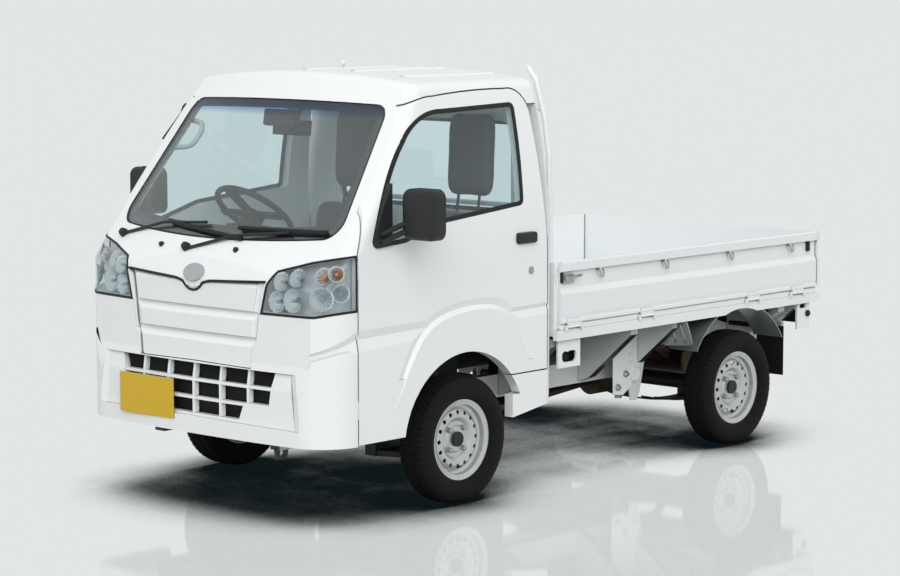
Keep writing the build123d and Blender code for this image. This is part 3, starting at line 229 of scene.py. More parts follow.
def loft(name: str, rings: list[list[Vector]], closed: bool = False, capped: bool = True,
         smooth: bool = True) -> Piece:
    """Skin a row of rings that have equal numbers of points, given in millimetres.

    Args:
        name: Name of the object.
        rings: Rings of points, each ring a closed loop.
        closed: Whether the last ring joins the first.
        capped: Whether the end rings are filled.
        smooth: Whether faces shade smooth.

    Returns:
        The linked object.
    """
    size, verts = len(rings[0]), [point * MM for ring in rings for point in ring]
    faces = []
    for i in range(len(rings) if closed else len(rings) - 1):
        a, b = i * size, (i + 1) % len(rings) * size
        faces += [(a + j, a + (j + 1) % size, b + (j + 1) % size, b + j) for j in range(size)]
    if capped and not closed:
        faces += [tuple(reversed(range(size))), tuple(range(len(verts) - size, len(verts)))]
    return mesh_object(name, verts, faces, smooth)


def sweep(name: str, path: list[Vector], ups: list[Vector], section: list[list[Vector]] | list[Vector],
          closed: bool = False) -> Piece:
    """Carry a flat section along a path.

    Args:
        name: Name of the object.
        path: Points in millimetres.
        ups: Direction at each point that the section's second axis follows.
        section: Points (across, up, 0) in millimetres, one list for all or one for each path point.
        closed: Whether the path joins its own start.

    Returns:
        The linked object.
    """
    rings, count = [], len(path)
    for i, point in enumerate(path):
        before = path[(i - 1) % count] if closed or i else point
        after = path[(i + 1) % count] if closed or i < count - 1 else point
        along = (after - before).normalized()
        across = along.cross(ups[i]).normalized()
        up = across.cross(along)
        shape = section[i] if isinstance(section[0], list) else section
        rings.append([point + across * s.x + up * s.y for s in shape])
    return loft(name, rings, closed)


def flat(points: Outline) -> list[Vector]:
    """Points (across, up) as a section for sweep."""
    return [Vector(p + (0,)) for p in points]


def circle(radius: float, sides: int = 12) -> list[Vector]:
    """A round section for sweep, of the given radius in millimetres."""
    return flat([(radius * math.cos(t), radius * math.sin(t))
                 for t in (2 * math.pi * i / sides for i in range(sides))])


def band(width: float, height: float) -> list[Vector]:
    """A low crowned strip as a section for sweep, its foot sunk 1 mm below the path.

    Args:
        width: Width of the strip in millimetres.
        height: Height of its crown above the path.

    Returns:
        Points of the section.
    """
    half, top, shoulder = width / 2, width / 2 * 0.7, height * 0.5
    return flat([(-half, -1.0), (half, -1.0), (half, shoulder), (top, height), (-top, height),
                 (-half, shoulder)])


def rod(name: str, points: list[Point], radius: float, sides: int = 12) -> Piece:
    """Make a round bar through points in millimetres, with its bends rounded.

    Args:
        name: Name of the object.
        points: Corner points of the bar.
        radius: Radius of the bar.
        sides: Facets round it.

    Returns:
        The linked object.
    """
    corners = [Vector(p) for p in points]
    path = [corners[0]]
    for a, b, c in zip(corners, corners[1:], corners[2:]):
        reach = min((b - a).length, (c - b).length) * 0.4
        start, end = b + (a - b).normalized() * reach, b + (c - b).normalized() * reach
        path += [start.lerp(b, t).lerp(b.lerp(end, t), t) for t in (0, 0.25, 0.5, 0.75, 1)]
    path.append(corners[-1])
    slanting = Vector((0.31, 0.2, 0.93))                   # along none of the truck's bars
    return sweep(name, path, [slanting] * len(path), circle(radius, sides))


def lathe(name: str, profile: Outline, centre: Vector, axis: Vector, steps: int = 32,
          flutes: tuple[int, float] = (0, 0.0), capped: bool = True) -> Piece:
    """Turn a profile of (distance along the axis, radius) about an axis, in millimetres.

    Args:
        name: Name of the object.
        profile: Profile points; a radius of 0 closes the end.
        centre: Point on the axis where the profile's distance is 0.
        axis: Direction of the axis.
        steps: Facets round the axis.
        flutes: Number of flutes round it, and their depth as a share of the radius.
        capped: Whether the profile's ends are filled.

    Returns:
        The linked object.
    """
    axis = axis.normalized()
    side = axis.orthogonal().normalized()
    other = axis.cross(side)
    rings = []
    for along, radius in profile:
        ring = []
        for i in range(steps):
            t = 2 * math.pi * i / steps
            r = max(radius, 0.01) * (1 + flutes[1] * math.cos(flutes[0] * t))
            ring.append(centre + axis * along + side * (r * math.cos(t)) + other * (r * math.sin(t)))
        rings.append(ring)
    return loft(name, rings, capped=capped)


def rectangle(low: Point, high: Point) -> list[Point]:
    """Corners of the rectangle between two opposite corners that share one coordinate.

    Args:
        low: First corner.
        high: Opposite corner.

    Returns:
        The four corners, in turn.
    """
    u, v = (axis for axis in range(3) if low[axis] != high[axis])
    corners = []
    for first, second in ((low, low), (high, low), (high, high), (low, high)):
        corner = list(low)
        corner[u], corner[v] = first[u], second[v]
        corners.append(tuple(corner))
    return corners


def panel(name: str, outline: list[Point], way: Point, thick: float, edge: float = 0.0) -> Piece:
    """Make a plate from its outline's corners in millimetres.

    Args:
        name: Name of the object.
        outline: Corners of one face.
        way: Direction in which the plate is thick.
        thick: Its thickness.
        edge: Width of its rounded edges, or 0.

    Returns:
        The linked object.
    """
    front = [Vector(p) for p in outline]
    back = [p + Vector(way).normalized() * thick for p in front]
    piece = loft(name, [front, back], smooth=False)
    if edge:
        bevel = piece.modifiers.new("rounded_edges", "BEVEL")
        bevel.width, bevel.segments, bevel.limit_method = edge * MM, 2, "ANGLE"
    return piece


def joined(name: str, pieces: list[Piece]) -> Piece:
    """Join new objects into one.

    Args:
        name: Name of the result.
        pieces: Objects to join; they are removed.

    Returns:
        The joined object.
    """
    verts, faces = [], []
    for piece in pieces:
        start = len(verts)
        verts += [v.co.copy() for v in piece.data.vertices]
        faces += [tuple(start + i for i in poly.vertices) for poly in piece.data.polygons]
        bpy.data.objects.remove(piece)
    return mesh_object(name, verts, faces)


def smooth_by_angle(piece: Piece, degrees: float = 35) -> Piece:
    """Shade a piece smooth but for edges sharper than the given angle."""
    piece.data.polygons.foreach_set("use_smooth", [True] * len(piece.data.polygons))
    piece.data.set_sharp_from_angle(angle=math.radians(degrees))
    return piece


# ---------------------------------------------------------------------------- surfaces of the frame
class Skin:
    """Rest surface of some CAD nodes, in millimetres, for laying trim on it."""

    def __init__(self, *nodes: str) -> None:
        """Read the nodes' faces."""
        verts, faces = [], []
        for node in nodes:
            obj, start = NODES[node], len(verts)
            verts += [obj.matrix_world @ v.co / MM for v in obj.data.vertices]
            faces += [tuple(start + i for i in poly.vertices) for poly in obj.data.polygons]
        self.tree = BVHTree.FromPolygons(verts, faces)

    def drop(self, start: Point, way: Point) -> tuple[Vector, Vector]:
        """Find where a line from a point meets the surface.

        Args:
            start: Point in millimetres.
            way: Direction of the line.

        Returns:
            The place and the surface's direction there; the start itself where it meets nothing.
        """
        spot, normal, _, _ = self.tree.ray_cast(Vector(start), Vector(way).normalized())
        if spot is None:
            return Vector(start), -Vector(way).normalized()
        return spot, normal if normal.dot(Vector(way)) < 0 else -normal

    def face(self, x: float, z: float) -> tuple[Vector, Vector]:
        """Place on the truck's face at a given width and height, and the direction there."""
        return self.drop((x, AHEAD_Y, z), (0, 1, 0))


def rims(node: str, facing: Point, least: float = 0.4) -> list[list[Vector]]:
    """Outlines of a node's faces that look one way, longest first, in millimetres.

    Args:
        node: Name of the CAD node.
        facing: Direction that the faces look in.
        least: Least cosine between a face and that direction.

    Returns:
        Closed loops of evenly spaced points.
    """
    mesh, way = bmesh.new(), Vector(facing).normalized()
    mesh.from_mesh(NODES[node].data)
    bmesh.ops.remove_doubles(mesh, verts=mesh.verts, dist=2e-5)
    mesh.normal_update()
    chosen = {f for f in mesh.faces if f.normal.dot(way) > least}
    links: dict = {}
    for edge in mesh.edges:
        if sum(face in chosen for face in edge.link_faces) == 1:
            for here, there in (edge.verts, reversed(edge.verts)):
                links.setdefault(here, []).append(there)
    loops, seen = [], set()
    for first in links:
        if first in seen:
            continue
        loop, here = [], first
        while here is not None and here not in seen:
            seen.add(here)
            loop.append(here.co / MM)
            here = next((v for v in links[here] if v not in seen), None)
        loops.append(even(loop, RIM_SPACING))
    mesh.free()
    return sorted(loops, key=len, reverse=True)


def even(loop: list[Vector], spacing: float) -> list[Vector]:
    """Space a closed loop's points evenly.

    Args:
        loop: Points of the loop.
        spacing: Distance wanted between neighbours.

    Returns:
        The new points.
    """
    ends = loop[1:] + loop[:1]
    lengths = [(b - a).length for a, b in zip(loop, ends)]
    count = max(8, round(sum(lengths) / spacing))
    step, points, index, before = sum(lengths) / count, [], 0, 0.0
    for i in range(count):
        while before + lengths[index] < i * step and index < len(loop) - 1:
            before += lengths[index]
            index += 1
        share = (i * step - before) / max(lengths[index], 1e-6)
        points.append(loop[index].lerp(ends[index], min(1.0, share)))
    return points


def inset(loop: list[Vector], skin: Skin, facing: Point, reach: float) -> tuple[list[Vector], list[Vector]]:
    """Draw a loop in towards its own middle along the surface.

    Args:
        loop: Closed loop of points.
        skin: Surface that the loop lies on.
        facing: Direction that the surface looks in.
        reach: Distance that each point moves in.

    Returns:
        The moved points and the surface's directions there.
    """
    toward = -Vector(facing).normalized()
    area = sum(((a - loop[0]).cross(b - loop[0]) for a, b in zip(loop, loop[1:])), Vector())
    turn = 1 if area.dot(toward) < 0 else -1
    spots, ups = [], []
    for i, point in enumerate(loop):
        along = (loop[(i + 1) % len(loop)] - loop[i - 1]).normalized()
        inward = (-toward).cross(along).normalized() * turn
        spot, up = skin.drop(point + inward * max(reach, 2.0) - toward * CLEARANCE, toward)
        if (spot - point).length > reach + CLEARANCE:
            spot, up = point + inward * reach, -toward
        spots.append(spot)
        ups.append(up)
    return spots, ups


# ---------------------------------------------------------------------------- finishes
@dataclass(frozen=True)
class Look(ABC):
    """One finish, named for its real material."""
    name: str

    @abstractmethod
    def shade(self, graph: Graph) -> Socket:
        """Build the finish's nodes in a shader tree, and give its shader."""

    def build(self) -> bpy.types.Material:
        """Build the finish's material.

        Returns:
            The finished material.
        """
        material, graph = new_material(self.name)
        graph.add("OutputMaterial", {"Surface": self.shade(graph)})
        return material


@dataclass(frozen=True)
class Enamel(Look):
    """Baked alkyd-melamine enamel on pressed steel: a plain gloss with faint orange peel, and painted shade in
    its seams.
    """
    colour: str
    roughness: float = 0.24
    peel_mm: float = 9.0               # spacing of the spray ripple
    seam_shade_mm: float = 14.0              # width over which painted shade darkens seams and corners
    seal_and_shade_within: float = -1.0        # metres from the middle within which black underseal and painted shade cover it, or -1

    def shade(self, graph: Graph) -> Socket:
        """Lay dielectric gloss over pigment, with ripple, faint blotches of tone and painted shade in seams and
        corners.

        Args:
            graph: Shader tree of the finish.

        Returns:
            The shader.
        """
        base = linear(self.colour)
        unshaded = graph.mix(graph.noise(0.6, 3.0), base, dimmed(base, 0.965))
        # painted shade: ambient occlusion darkens seams and corners towards grey #5C5F60
        painted_shade_openness = graph.add("AmbientOcclusion", {"Distance": self.seam_shade_mm * MM, "samples": 4}).outputs["AO"]
        colour = graph.mix(graph.span(painted_shade_openness, {"From Min": 0.25, "From Max": 0.75}), linear("#5C5F60"), unshaded)
        if self.seal_and_shade_within >= 0:
            colour = self.underseal_and_shade(graph, colour)
        return graph.add("BsdfPrincipled", {
            "Roughness": self.roughness, "IOR": 1.5, "Coat Weight": 0.25, "Coat Roughness": 0.05,
            "Base Color": colour, "Normal": graph.bump(graph.noise(self.peel_mm * MM, 1.0), 0.02, 0.2),
        }).outputs["BSDF"]

    def underseal_and_shade(self, graph: Graph, enamel: Socket) -> Socket:
        """Cover undersides, and what lies near the middle line, in black: bitumen underseal, and painted shade
        under the truck.

        Args:
            graph: Shader tree of the finish.
            enamel: Colour of the enamel.

        Returns:
            The mixed colour.
        """
        facing = graph.add("SeparateXYZ", {0: graph.spot("Normal")}).outputs["Z"]
        across = graph.math("ABSOLUTE", graph.add("SeparateXYZ", {0: graph.spot()}).outputs["X"])
        # underseal and painted shade: black on faces that look down and near the middle line
        seal_and_shade_mask = graph.math("MAXIMUM", graph.math("LESS_THAN", facing, -0.6),
                            graph.math("LESS_THAN", across, self.seal_and_shade_within))
        return graph.mix(seal_and_shade_mask, enamel, linear("#1D1E1F"))


@dataclass(frozen=True)
class MouldedPlastic(Look):
    """Injection-moulded polypropylene or ABS: even pigment with a fine spark-eroded grain."""
    colour: str
    roughness: float = 0.55
    grain_mm: float = 1.6              # real grain is about 0.4 mm; drawn coarser so that it shows
    depth: float = 0.12

    def shade(self, graph: Graph) -> Socket:
        """Break the highlight up with grain, which gives a soft sheen.

        Args:
            graph: Shader tree of the finish.

        Returns:
            The shader.
        """
        cloud, base = graph.noise(0.05, 4.0), linear(self.colour)
        pale = tuple(min(1.0, c * 1.25 + 0.002) for c in base[:3]) + (1.0,)
        grain = graph.add("TexVoronoi", {"Scale": 1 / (self.grain_mm * MM), "Vector": graph.spot()})
        rough = graph.span(cloud, {"To Min": self.roughness - 0.06, "To Max": self.roughness + 0.08})
        return graph.add("BsdfPrincipled", {
            "IOR": 1.49, "Base Color": graph.mix(cloud, base, pale), "Roughness": rough,
            "Normal": graph.bump(grain.outputs["Distance"], self.depth, 0.15)}).outputs["BSDF"]


@dataclass(frozen=True)
class FloatGlass(Look):
    """Tempered soda-lime window glass: thin, clear with a faint green, mirror-like at a slant."""
    tint: str = "#F4FAFB"
    mirror: float = 0.05               # share of light turned back where it is seen square on
    shade_from: float = 0.0            # height in metres where the blue shade band starts, or 0 for none
    shade_depth: float = 0.05

    def shade(self, graph: Graph) -> Socket:
        """Put a mirror coat that grows at a slant on a clear sheet.

        Args:
            graph: Shader tree of the finish.

        Returns:
            The shader.
        """
        tint: Colour | Socket = linear(self.tint)
        if self.shade_from:
            height = graph.add("SeparateXYZ", {0: graph.spot()}).outputs["Z"]
            depth = graph.span(height, {"From Min": self.shade_from,
                                        "From Max": self.shade_from + self.shade_depth})
            tint = graph.mix(depth, tint, linear("#7FB2DE"))
        clear = graph.add("BsdfTransparent", {"Color": tint}).outputs["BSDF"]
        gloss = graph.add("BsdfGlossy", {"Color": linear("#FFFFFF"), "Roughness": 0.015,
                                         "Normal": graph.bump(graph.noise(0.25, 0.0), 0.03, 1.0)})
        steep = graph.math("POWER", graph.add("LayerWeight", {"Blend": 0.5}).outputs["Facing"], 5.0)
        share = graph.span(steep, {"To Min": self.mirror, "To Max": 1.0})
        return graph.share_shaders(share, clear, gloss.outputs["BSDF"])


@dataclass(frozen=True)
class Rubber(Look):
    """Vulcanised tyre rubber: deep grey-black, matt, with a dusty bloom in its low spots."""
    colour: str = "#080808"
    bloom: str = "#141312"
    roughness: float = 0.8

    def shade(self, graph: Graph) -> Socket:
        """Dull the surface with blotchy bloom and pores.

        Args:
            graph: Shader tree of the finish.

        Returns:
            The shader.
        """
        return graph.add("BsdfPrincipled", {
            "Roughness": self.roughness, "IOR": 1.36,
            "Base Color": graph.mix(graph.noise(0.03, 5.0), linear(self.colour), linear(self.bloom)),
            "Normal": graph.bump(graph.noise(1.5 * MM, 2.0), 0.15, 0.3)}).outputs["BSDF"]


@dataclass(frozen=True)
class BareMetal(Look):
    """Metal with its own colour: silver lacquer, zinc plate, chrome or rusted steel."""
    colour: str
    roughness: float
    metallic: float = 1.0
    grain_mm: float = 2.0
    stain: str = ""                    # second colour in broad patches, such as heat-browned steel

    def shade(self, graph: Graph) -> Socket:
        """Streak the polish finely, and stain the metal where it is stained.

        Args:
            graph: Shader tree of the finish.

        Returns:
            The shader.
        """
        base, fine = linear(self.colour), graph.noise(self.grain_mm * MM, 3.0)
        other = linear(self.stain) if self.stain else dimmed(base, 0.85)
        rough = graph.span(fine, {"To Min": max(0.02, self.roughness - 0.05),
                                  "To Max": self.roughness + 0.08})
        return graph.add("BsdfPrincipled", {
            "Metallic": self.metallic, "Base Color": graph.mix(graph.noise(0.04, 5.0), base, other),
            "Roughness": rough, "Normal": graph.bump(fine, 0.05, 0.1)}).outputs["BSDF"]


@dataclass(frozen=True)
class WovenCloth(Look):
    """Woven polyester seat cloth: a plain weave whose threads catch a soft sheen."""
    colour: str = "#3A3C40"
    thread_mm: float = 3.0             # real threads lie 0.8 mm apart; drawn coarser so that they show

    def shade(self, graph: Graph) -> Socket:
        """Cross thread waves to make the weave in colour and in relief.

        Args:
            graph: Shader tree of the finish.

        Returns:
            The shader.
        """
        waves = [graph.add("TexWave", {"bands_direction": axis, "Scale": 0.314 / (self.thread_mm * MM),
                                       "Vector": graph.spot()}).outputs["Fac"] for axis in "XZ"]
        weave = graph.math("MULTIPLY", *waves)
        return graph.add("BsdfPrincipled", {
            "Roughness": 0.9, "Sheen Weight": 0.4, "Sheen Roughness": 0.5,
            "Base Color": graph.mix(weave, linear(self.colour), linear("#585B60")),
            "Normal": graph.bump(weave, 0.4, 0.4)}).outputs["BSDF"]


class Finish(Enum):
    """Every finish on the truck, each built once and shared."""
    WHITE_ENAMEL = Enamel("white_alkyd_enamel", "#EEF0F0")
    BED_ENAMEL = Enamel("bed_white_enamel", "#E9ECED", 0.3, 14.0)
    # these two are black on undersides: underseal and painted shade
    BED_UNDERSEALED_AND_SHADED = Enamel("bed_white_enamel_undersealed", "#E9ECED", 0.3, 14.0, seal_and_shade_within=0.0)
    FRAME_ENAMEL = Enamel("frame_white_enamel_undersealed", "#D9DCDC", 0.38, 20.0, seal_and_shade_within=0.3725)
    BLACK_PLASTIC = MouldedPlastic("black_polypropylene", "#1B1C1D", 0.5)
    SEAL = MouldedPlastic("black_epdm_seal", "#121213", 0.6, 4.0, 0.05)
    FRIT = MouldedPlastic("black_ceramic_frit", "#2A2A2C", 0.35, 3.0, 0.02)
    SHROUD = MouldedPlastic("black_grille_shroud", "#050505", 0.9, 6.0)
    TRIM_GREY = MouldedPlastic("grey_interior_polypropylene", "#6F7A78", 0.6)
    HANDLE_GREY = MouldedPlastic("light_grey_abs_handle", "#B4BAB6", 0.5, 2.0)
    LAMP_BEZEL = BareMetal("silver_lacquered_bezel", "#DDE0E2", 0.3, 0.45, 2.0)
    GUARD_GREY = BareMetal("galvanised_guard_steel", "#A6A9AA", 0.3, 0.7, 5.0)
    WINDOW_GLASS = FloatGlass("tempered_soda_lime_glass")
    SCREEN_GLASS = FloatGlass("laminated_windscreen_glass", "#F3F9FA", 0.08, 1.585)
    LAMP_COVER = FloatGlass("polycarbonate_lamp_cover", "#F4F7F8", 0.04)
    CHROME = BareMetal("vacuum_aluminised_reflector", "#E9ECEE", 0.1)
    BADGE_CHROME = BareMetal("satin_chromed_disc", "#C9CCCE", 0.2)
    ZINC = BareMetal("zinc_plated_steel", "#B9BBB8", 0.32, 0.95, 3.0)
    AMBER = MouldedPlastic("amber_lamp_glass", "#E8871A", 0.15, 5.0, 0.04)
    TYRE = Rubber("tyre_rubber")
    FLAP = Rubber("flap_rubber", "#131314", "#1E1D1C", 0.6)
    WHEEL_SILVER = BareMetal("silver_lacquered_steel", "#CBCDCE", 0.3, 0.7)
    CHASSIS_BLACK = MouldedPlastic("black_chassis_paint", "#151515", 0.45, 3.0)
    EXHAUST = BareMetal("heat_browned_steel", "#6E5D4E", 0.5, 0.8, 2.0, "#3B322B")
    ENGINE_CASTING = BareMetal("sand_cast_iron", "#5B5C5E", 0.6, 0.8, 3.0)
    SEAT_CLOTH = WovenCloth("woven_polyester_seat_cloth")
    SEAT_VINYL = MouldedPlastic("grey_vinyl_headrest", "#4A4E52", 0.6, 2.0)
    TAIL_RED = MouldedPlastic("red_acrylic_lamp", "#8A0A0C", 0.15, 6.0)
    PLATE_YELLOW = Enamel("yellow_plate_enamel", "#D2AC12", 0.4)

    @property
    def material(self) -> bpy.types.Material:
        """The finish's material, built when first asked for."""
        known = bpy.data.materials.get(self.value.name)
        return known if known else self.value.build()


# ---------------------------------------------------------------------------- sub-assemblies
@dataclass(frozen=True)
class Side:
    """One side of the truck."""
    name: str
    sign: int                          # 1 on the left, -1 on the right

    @property
    def out(self) -> Vector:
        """Direction out of the truck."""
        return Vector((self.sign, 0, 0))

    def spot(self, x: float, y: float, z: float) -> Vector:
        """Point drawn on the left, moved to this side."""
        return Vector((self.sign * x, y, z))

    def points(self, drawn: list[Point]) -> list[Point]:
        """Points drawn on the left, moved to this side."""
        return [(self.sign * x, y, z) for x, y, z in drawn]


SIDES = (Side("left", 1), Side("right", -1))


@dataclass
class Cab:
    """Painted cab shell with its glass, front panels and doors."""
    painted: tuple[str, ...] = ("cab_roof", "cab_back", "cab_front", "cab_floor", "door_left",
                                "door_right", "front_bumper", "front_garnish", "front_grille")
    glazed: tuple[str, ...] = ("rear_window", "door_left_glass", "door_right_glass")
    black: tuple[str, ...] = ("mirror_left", "mirror_right", "door_handle_left", "door_handle_right", "wipers")
    # hood seam: x, z
    seam: Outline = ((404, 962), (264, 955), (100, 947), (58, 936), (42, 918), (22, 906), (0, 903))
    seam_radius: float = 5.0
    seal_reach: float = 6.0            # from a pane's edge to the middle of its seal
    screen_facing: Point = (0, -0.8, 0.6)
    frit: Pair = (44.0, 96.0)          # width, and width at the foot
    frit_change: Pair = (1230.0, 90.0)                     # height where it starts to widen, and over what
    badge_z: float = 973.0
    badge_half: Pair = (59.0, 38.0)    # across, up
    badge_profile: Outline = ((-2, 1.0), (5, 1.0), (7, 0.97), (7.5, 0.9), (6, 0.84), (6, 0.78),
                              (9, 0.6), (11, 0.3), (11.5, 0))
    washers: Outline = ((-260, 1064), (184, 1070))         # x, z
    washer_profile: Outline = ((-2, 12), (3, 12), (9, 10), (13, 6), (14, 0))
    pivots: Outline = ((-560, 1086), (-96, 1063))          # x, z
    pivot_profile: Outline = ((-2, 19), (8, 19), (16, 17), (24, 13), (26, 0))
    # wiper blades: x and z of each end
    blades: tuple[tuple[float, float, float, float], ...] = ((-277, 1149, 193, 1108), (150, 1147, 590, 1150))
    blade_steps: int = 24
    blade_section: Outline = ((-2, -1), (2, -1), (3, 8), (9, 10), (9, 15), (3, 20), (-3, 20), (-9, 15),
                              (-9, 10), (-3, 8))
    lock_at: Pair = (-441, 935)        # y, z
    lock_profile: Outline = ((-2, 17), (1.5, 17), (3, 15), (2.5, 11), (4, 10), (4, 0))
    aerial: tuple[Point, ...] = ((-722, -1185, 1457), (-706, -1140, 1517), (-690, -1095, 1577))
    aerial_foot: Outline = ((-14, 0), (-12, 11), (20, 12), (34, 6), (36, 0))

    def build(self) -> None:
        """Dress the shell and add its seals, trim and small fittings."""
        dress(Finish.WHITE_ENAMEL, *self.painted)
        dress(Finish.WINDOW_GLASS, *self.glazed)
        dress(Finish.BLACK_PLASTIC, *self.black)
        dress(Finish.SCREEN_GLASS, "windscreen")
        dress(Finish.PLATE_YELLOW, "licence_plate")
        for side in SIDES:
            self.seal(f"door_{side.name}_glass", (side.sign, 0, 0.15), 20.0, f"door_{side.name}")
        self.seal("rear_window", (0, 1, 0), 22.0, "truck")
        self.screen_edges()
        self.face_trim()
        self.wiper_blades()
        self.side_fittings()

    def seal(self, node: str, facing: Point, width: float, body: str) -> None:
        """Lay a seal just inside the outline of a pane.

        Args:
            node: Pane that it follows.
            facing: Direction that the pane looks in.
            width: Width of the seal.
            body: Body that it moves with.
        """
        path, ups = inset(rims(node, facing)[0], Skin(node), facing, self.seal_reach)
        place(sweep(f"{node}_seal", path, ups, band(width, 3.0), True), Finish.SEAL, body)

    def screen_edges(self) -> None:
        """Print the windscreen's ceramic frit, wider along its foot, and seal the screen's edge."""
        loop, skin = rims("windscreen", self.screen_facing)[0], Skin("windscreen")
        (narrow, wide), (change, fade) = self.frit, self.frit_change
        path, ups = inset(loop, skin, self.screen_facing, narrow / 2)
        shapes = []
        for point in path:
            share = min(1.0, max(0.0, (change - point.z) / fade))
            half = (narrow + (wide - narrow) * share) / 2
            shapes.append(flat([(-half, -7), (half, -7), (half, -6), (-half, -6)]))
        place(sweep("windscreen_frit", path, ups, shapes, True), Finish.FRIT)
        path, ups = inset(loop, skin, self.screen_facing, 3.0)
        place(sweep("windscreen_seal", path, ups, band(8.0, 2.0), True), Finish.SEAL)

    def face_trim(self) -> None:
        """Add the hood seam's rubber, the bare disc above it, washer jets and wiper pivots."""
        skin = Skin("cab_front", "front_garnish", "front_bumper")
        line = [(-x, z) for x, z in self.seam] + [*reversed(self.seam[:-1])]
        drops = [skin.face(x, z) for x, z in line]
        place(sweep("hood_seam_rubber", [spot + up for spot, up in drops], [up for _, up in drops],
                    circle(self.seam_radius)), Finish.SEAL)
        spot, up = skin.face(0, self.badge_z)
        disc = lathe("bare_badge_disc", self.badge_profile, Vector(), Vector((0, 0, 1)), 48)
        across, rise = self.badge_half
        level = Vector((1, 0, 0))
        for vertex in disc.data.vertices:
            x, y, z = vertex.co / MM
            vertex.co = (spot + level * x * across + up.cross(level) * y * rise + up * z) * MM
        place(smooth_by_angle(disc), Finish.BADGE_CHROME, slot="reflector")
        for name, places, profile in (("washer_jet", self.washers, self.washer_profile),
                                      ("wiper_pivot", self.pivots, self.pivot_profile)):
            for number, (x, z) in enumerate(places):
                fitting = lathe(f"{name}_{number}", profile, *skin.face(x, z), 24)
                place(smooth_by_angle(fitting), Finish.BLACK_PLASTIC)

    def wiper_blades(self) -> None:
        """Lay a rubber blade with its spine on the screen under each wiper arm."""
        skin = Skin("windscreen", "cab_front")
        for number, (x0, z0, x1, z1) in enumerate(self.blades):
            shares = [i / self.blade_steps for i in range(self.blade_steps + 1)]
            drops = [skin.face(x0 + (x1 - x0) * share, z0 + (z1 - z0) * share) for share in shares]
            place(sweep(f"wiper_blade_{number}", [spot for spot, _ in drops], [up for _, up in drops],
                        flat(self.blade_section)), Finish.SEAL)

    def side_fittings(self) -> None:
        """Add the door locks and the pillar aerial."""
        for side in SIDES:
            node = f"door_{side.name}"
            spot, up = Skin(node).drop(side.spot(900, *self.lock_at), -side.out)
            lock = lathe(f"{node}_lock", self.lock_profile, spot, up, 28)
            place(smooth_by_angle(lock), Finish.ZINC, node, "reflector")
        bar = rod("aerial_bar", self.aerial, 8.0)
        foot = lathe("aerial_foot", self.aerial_foot, Vector(self.aerial[-1]), Vector((0.1, 0.35, 0.9)), 20)
        place(joined("pillar_aerial_rod", [bar, foot]), Finish.BLACK_PLASTIC)


@dataclass
class Lamps:
    """Headlamps behind clear covers, and the tail lamps."""
    # reflector dishes of the left lamp: x, z, radius, and whether its bulb is amber
    dishes: tuple[tuple[float, float, float, bool], ...] = (
        (458, 972, 36, False), (528, 990, 36, False), (606, 1002, 34, True), (668, 1012, 30, True),
        (440, 888, 40, False), (522, 896, 44, False), (612, 910, 46, False), (690, 930, 34, False))
    dish_depth: float = 24.0
    dish_sink: float = 9.0             # of its mouth below the cover
    flutes: tuple[int, float] = (14, 0.05)
    bulb: Outline = ((-8, 7), (6, 8), (12, 6), (14, 0))
    bulb_sink: float = 14.0
    corner_x: float = 600.0            # beyond it the lamp wraps round the corner
    tail_height: Pair = (5.0, 85.0)    # above the lamp's foot

    def build(self) -> None:
        """Dress the lamps and fill the headlamps."""
        dress(Finish.LAMP_COVER, "headlamp_lenses")
        dress(Finish.LAMP_BEZEL, "headlamps")
        dress(Finish.BLACK_PLASTIC, "tail_lamps")
        skin = Skin("headlamp_lenses")
        for side in SIDES:
            self.fill(side, skin)
        loops = [loop for side in SIDES for loop in rims("headlamp_lenses", (side.sign * 0.6, -0.8, 0), 0.3)]
        for side in SIDES:
            loop = max((each for each in loops if min(p.x * side.sign for p in each) > 0), key=len)
            path, ups = inset(loop, skin, (side.sign * 0.6, -0.8, 0), 3.0)
            place(sweep(f"headlamp_{side.name}_gasket", path, ups, band(8.0, 3.0), True), Finish.SEAL)
        self.tail()

    def fill(self, side: Side, skin: Skin) -> None:
        """Put the fluted dishes and their bulbs behind one lens.

        Args:
            side: Side of the truck.
            skin: Surface of the lenses.
        """
        dishes, bulbs, ambers = [], [], []
        for x, z, radius, amber in self.dishes:
            way = side.spot(-0.5 if x > self.corner_x else -0.12, 1, 0)
            spot, up = skin.drop(side.spot(x, -1500, z) - way * 400, way)
            axis = (up - way.normalized() * 0.6).normalized()
            mouth = spot - up * self.dish_sink
            bowl = [(-self.dish_depth * (1 - (r / 10) ** 2), (radius - 2) * r / 10) for r in (9, 8, 6, 4, 2, 0)]
            dishes.append(lathe("dish", [(1.5, radius + 2), (0, radius - 2)] + bowl, mouth, axis, 56,
                                self.flutes, False))
            bulb = lathe("bulb", self.bulb, mouth - axis * self.bulb_sink, axis, 16)
            (ambers if amber else bulbs).append(bulb)
        for name, group, finish, slot in (("dishes", dishes, Finish.CHROME, "reflector"),
                                          ("bulbs", bulbs, Finish.BADGE_CHROME, "reflector"),
                                          ("amber_bulbs", ambers, Finish.AMBER, "clear_lens")):
            place(joined(f"headlamp_{side.name}_{name}", group), finish, slot=slot)

    def tail(self) -> None:
        """Fit the clear, amber and red lenses on the rear faces of the tail lamps."""
        low, high = (Vector(c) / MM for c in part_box("tail_lamps"))
        z0, z1 = (low.z + rise for rise in self.tail_height)
        for side in SIDES:
            for number, (start, end, finish) in enumerate(
                    ((186, 122, Finish.BADGE_CHROME), (120, 64, Finish.AMBER), (62, 4, Finish.TAIL_RED))):
                face = rectangle((high.x - start, high.y, z0), (high.x - end, high.y, z1))
                lens = panel(f"tail_{side.name}_lens_{number}", side.points(face), (0, 1, 0), 7.0, 4.0)
                place(lens, finish, slot="lamp_red")


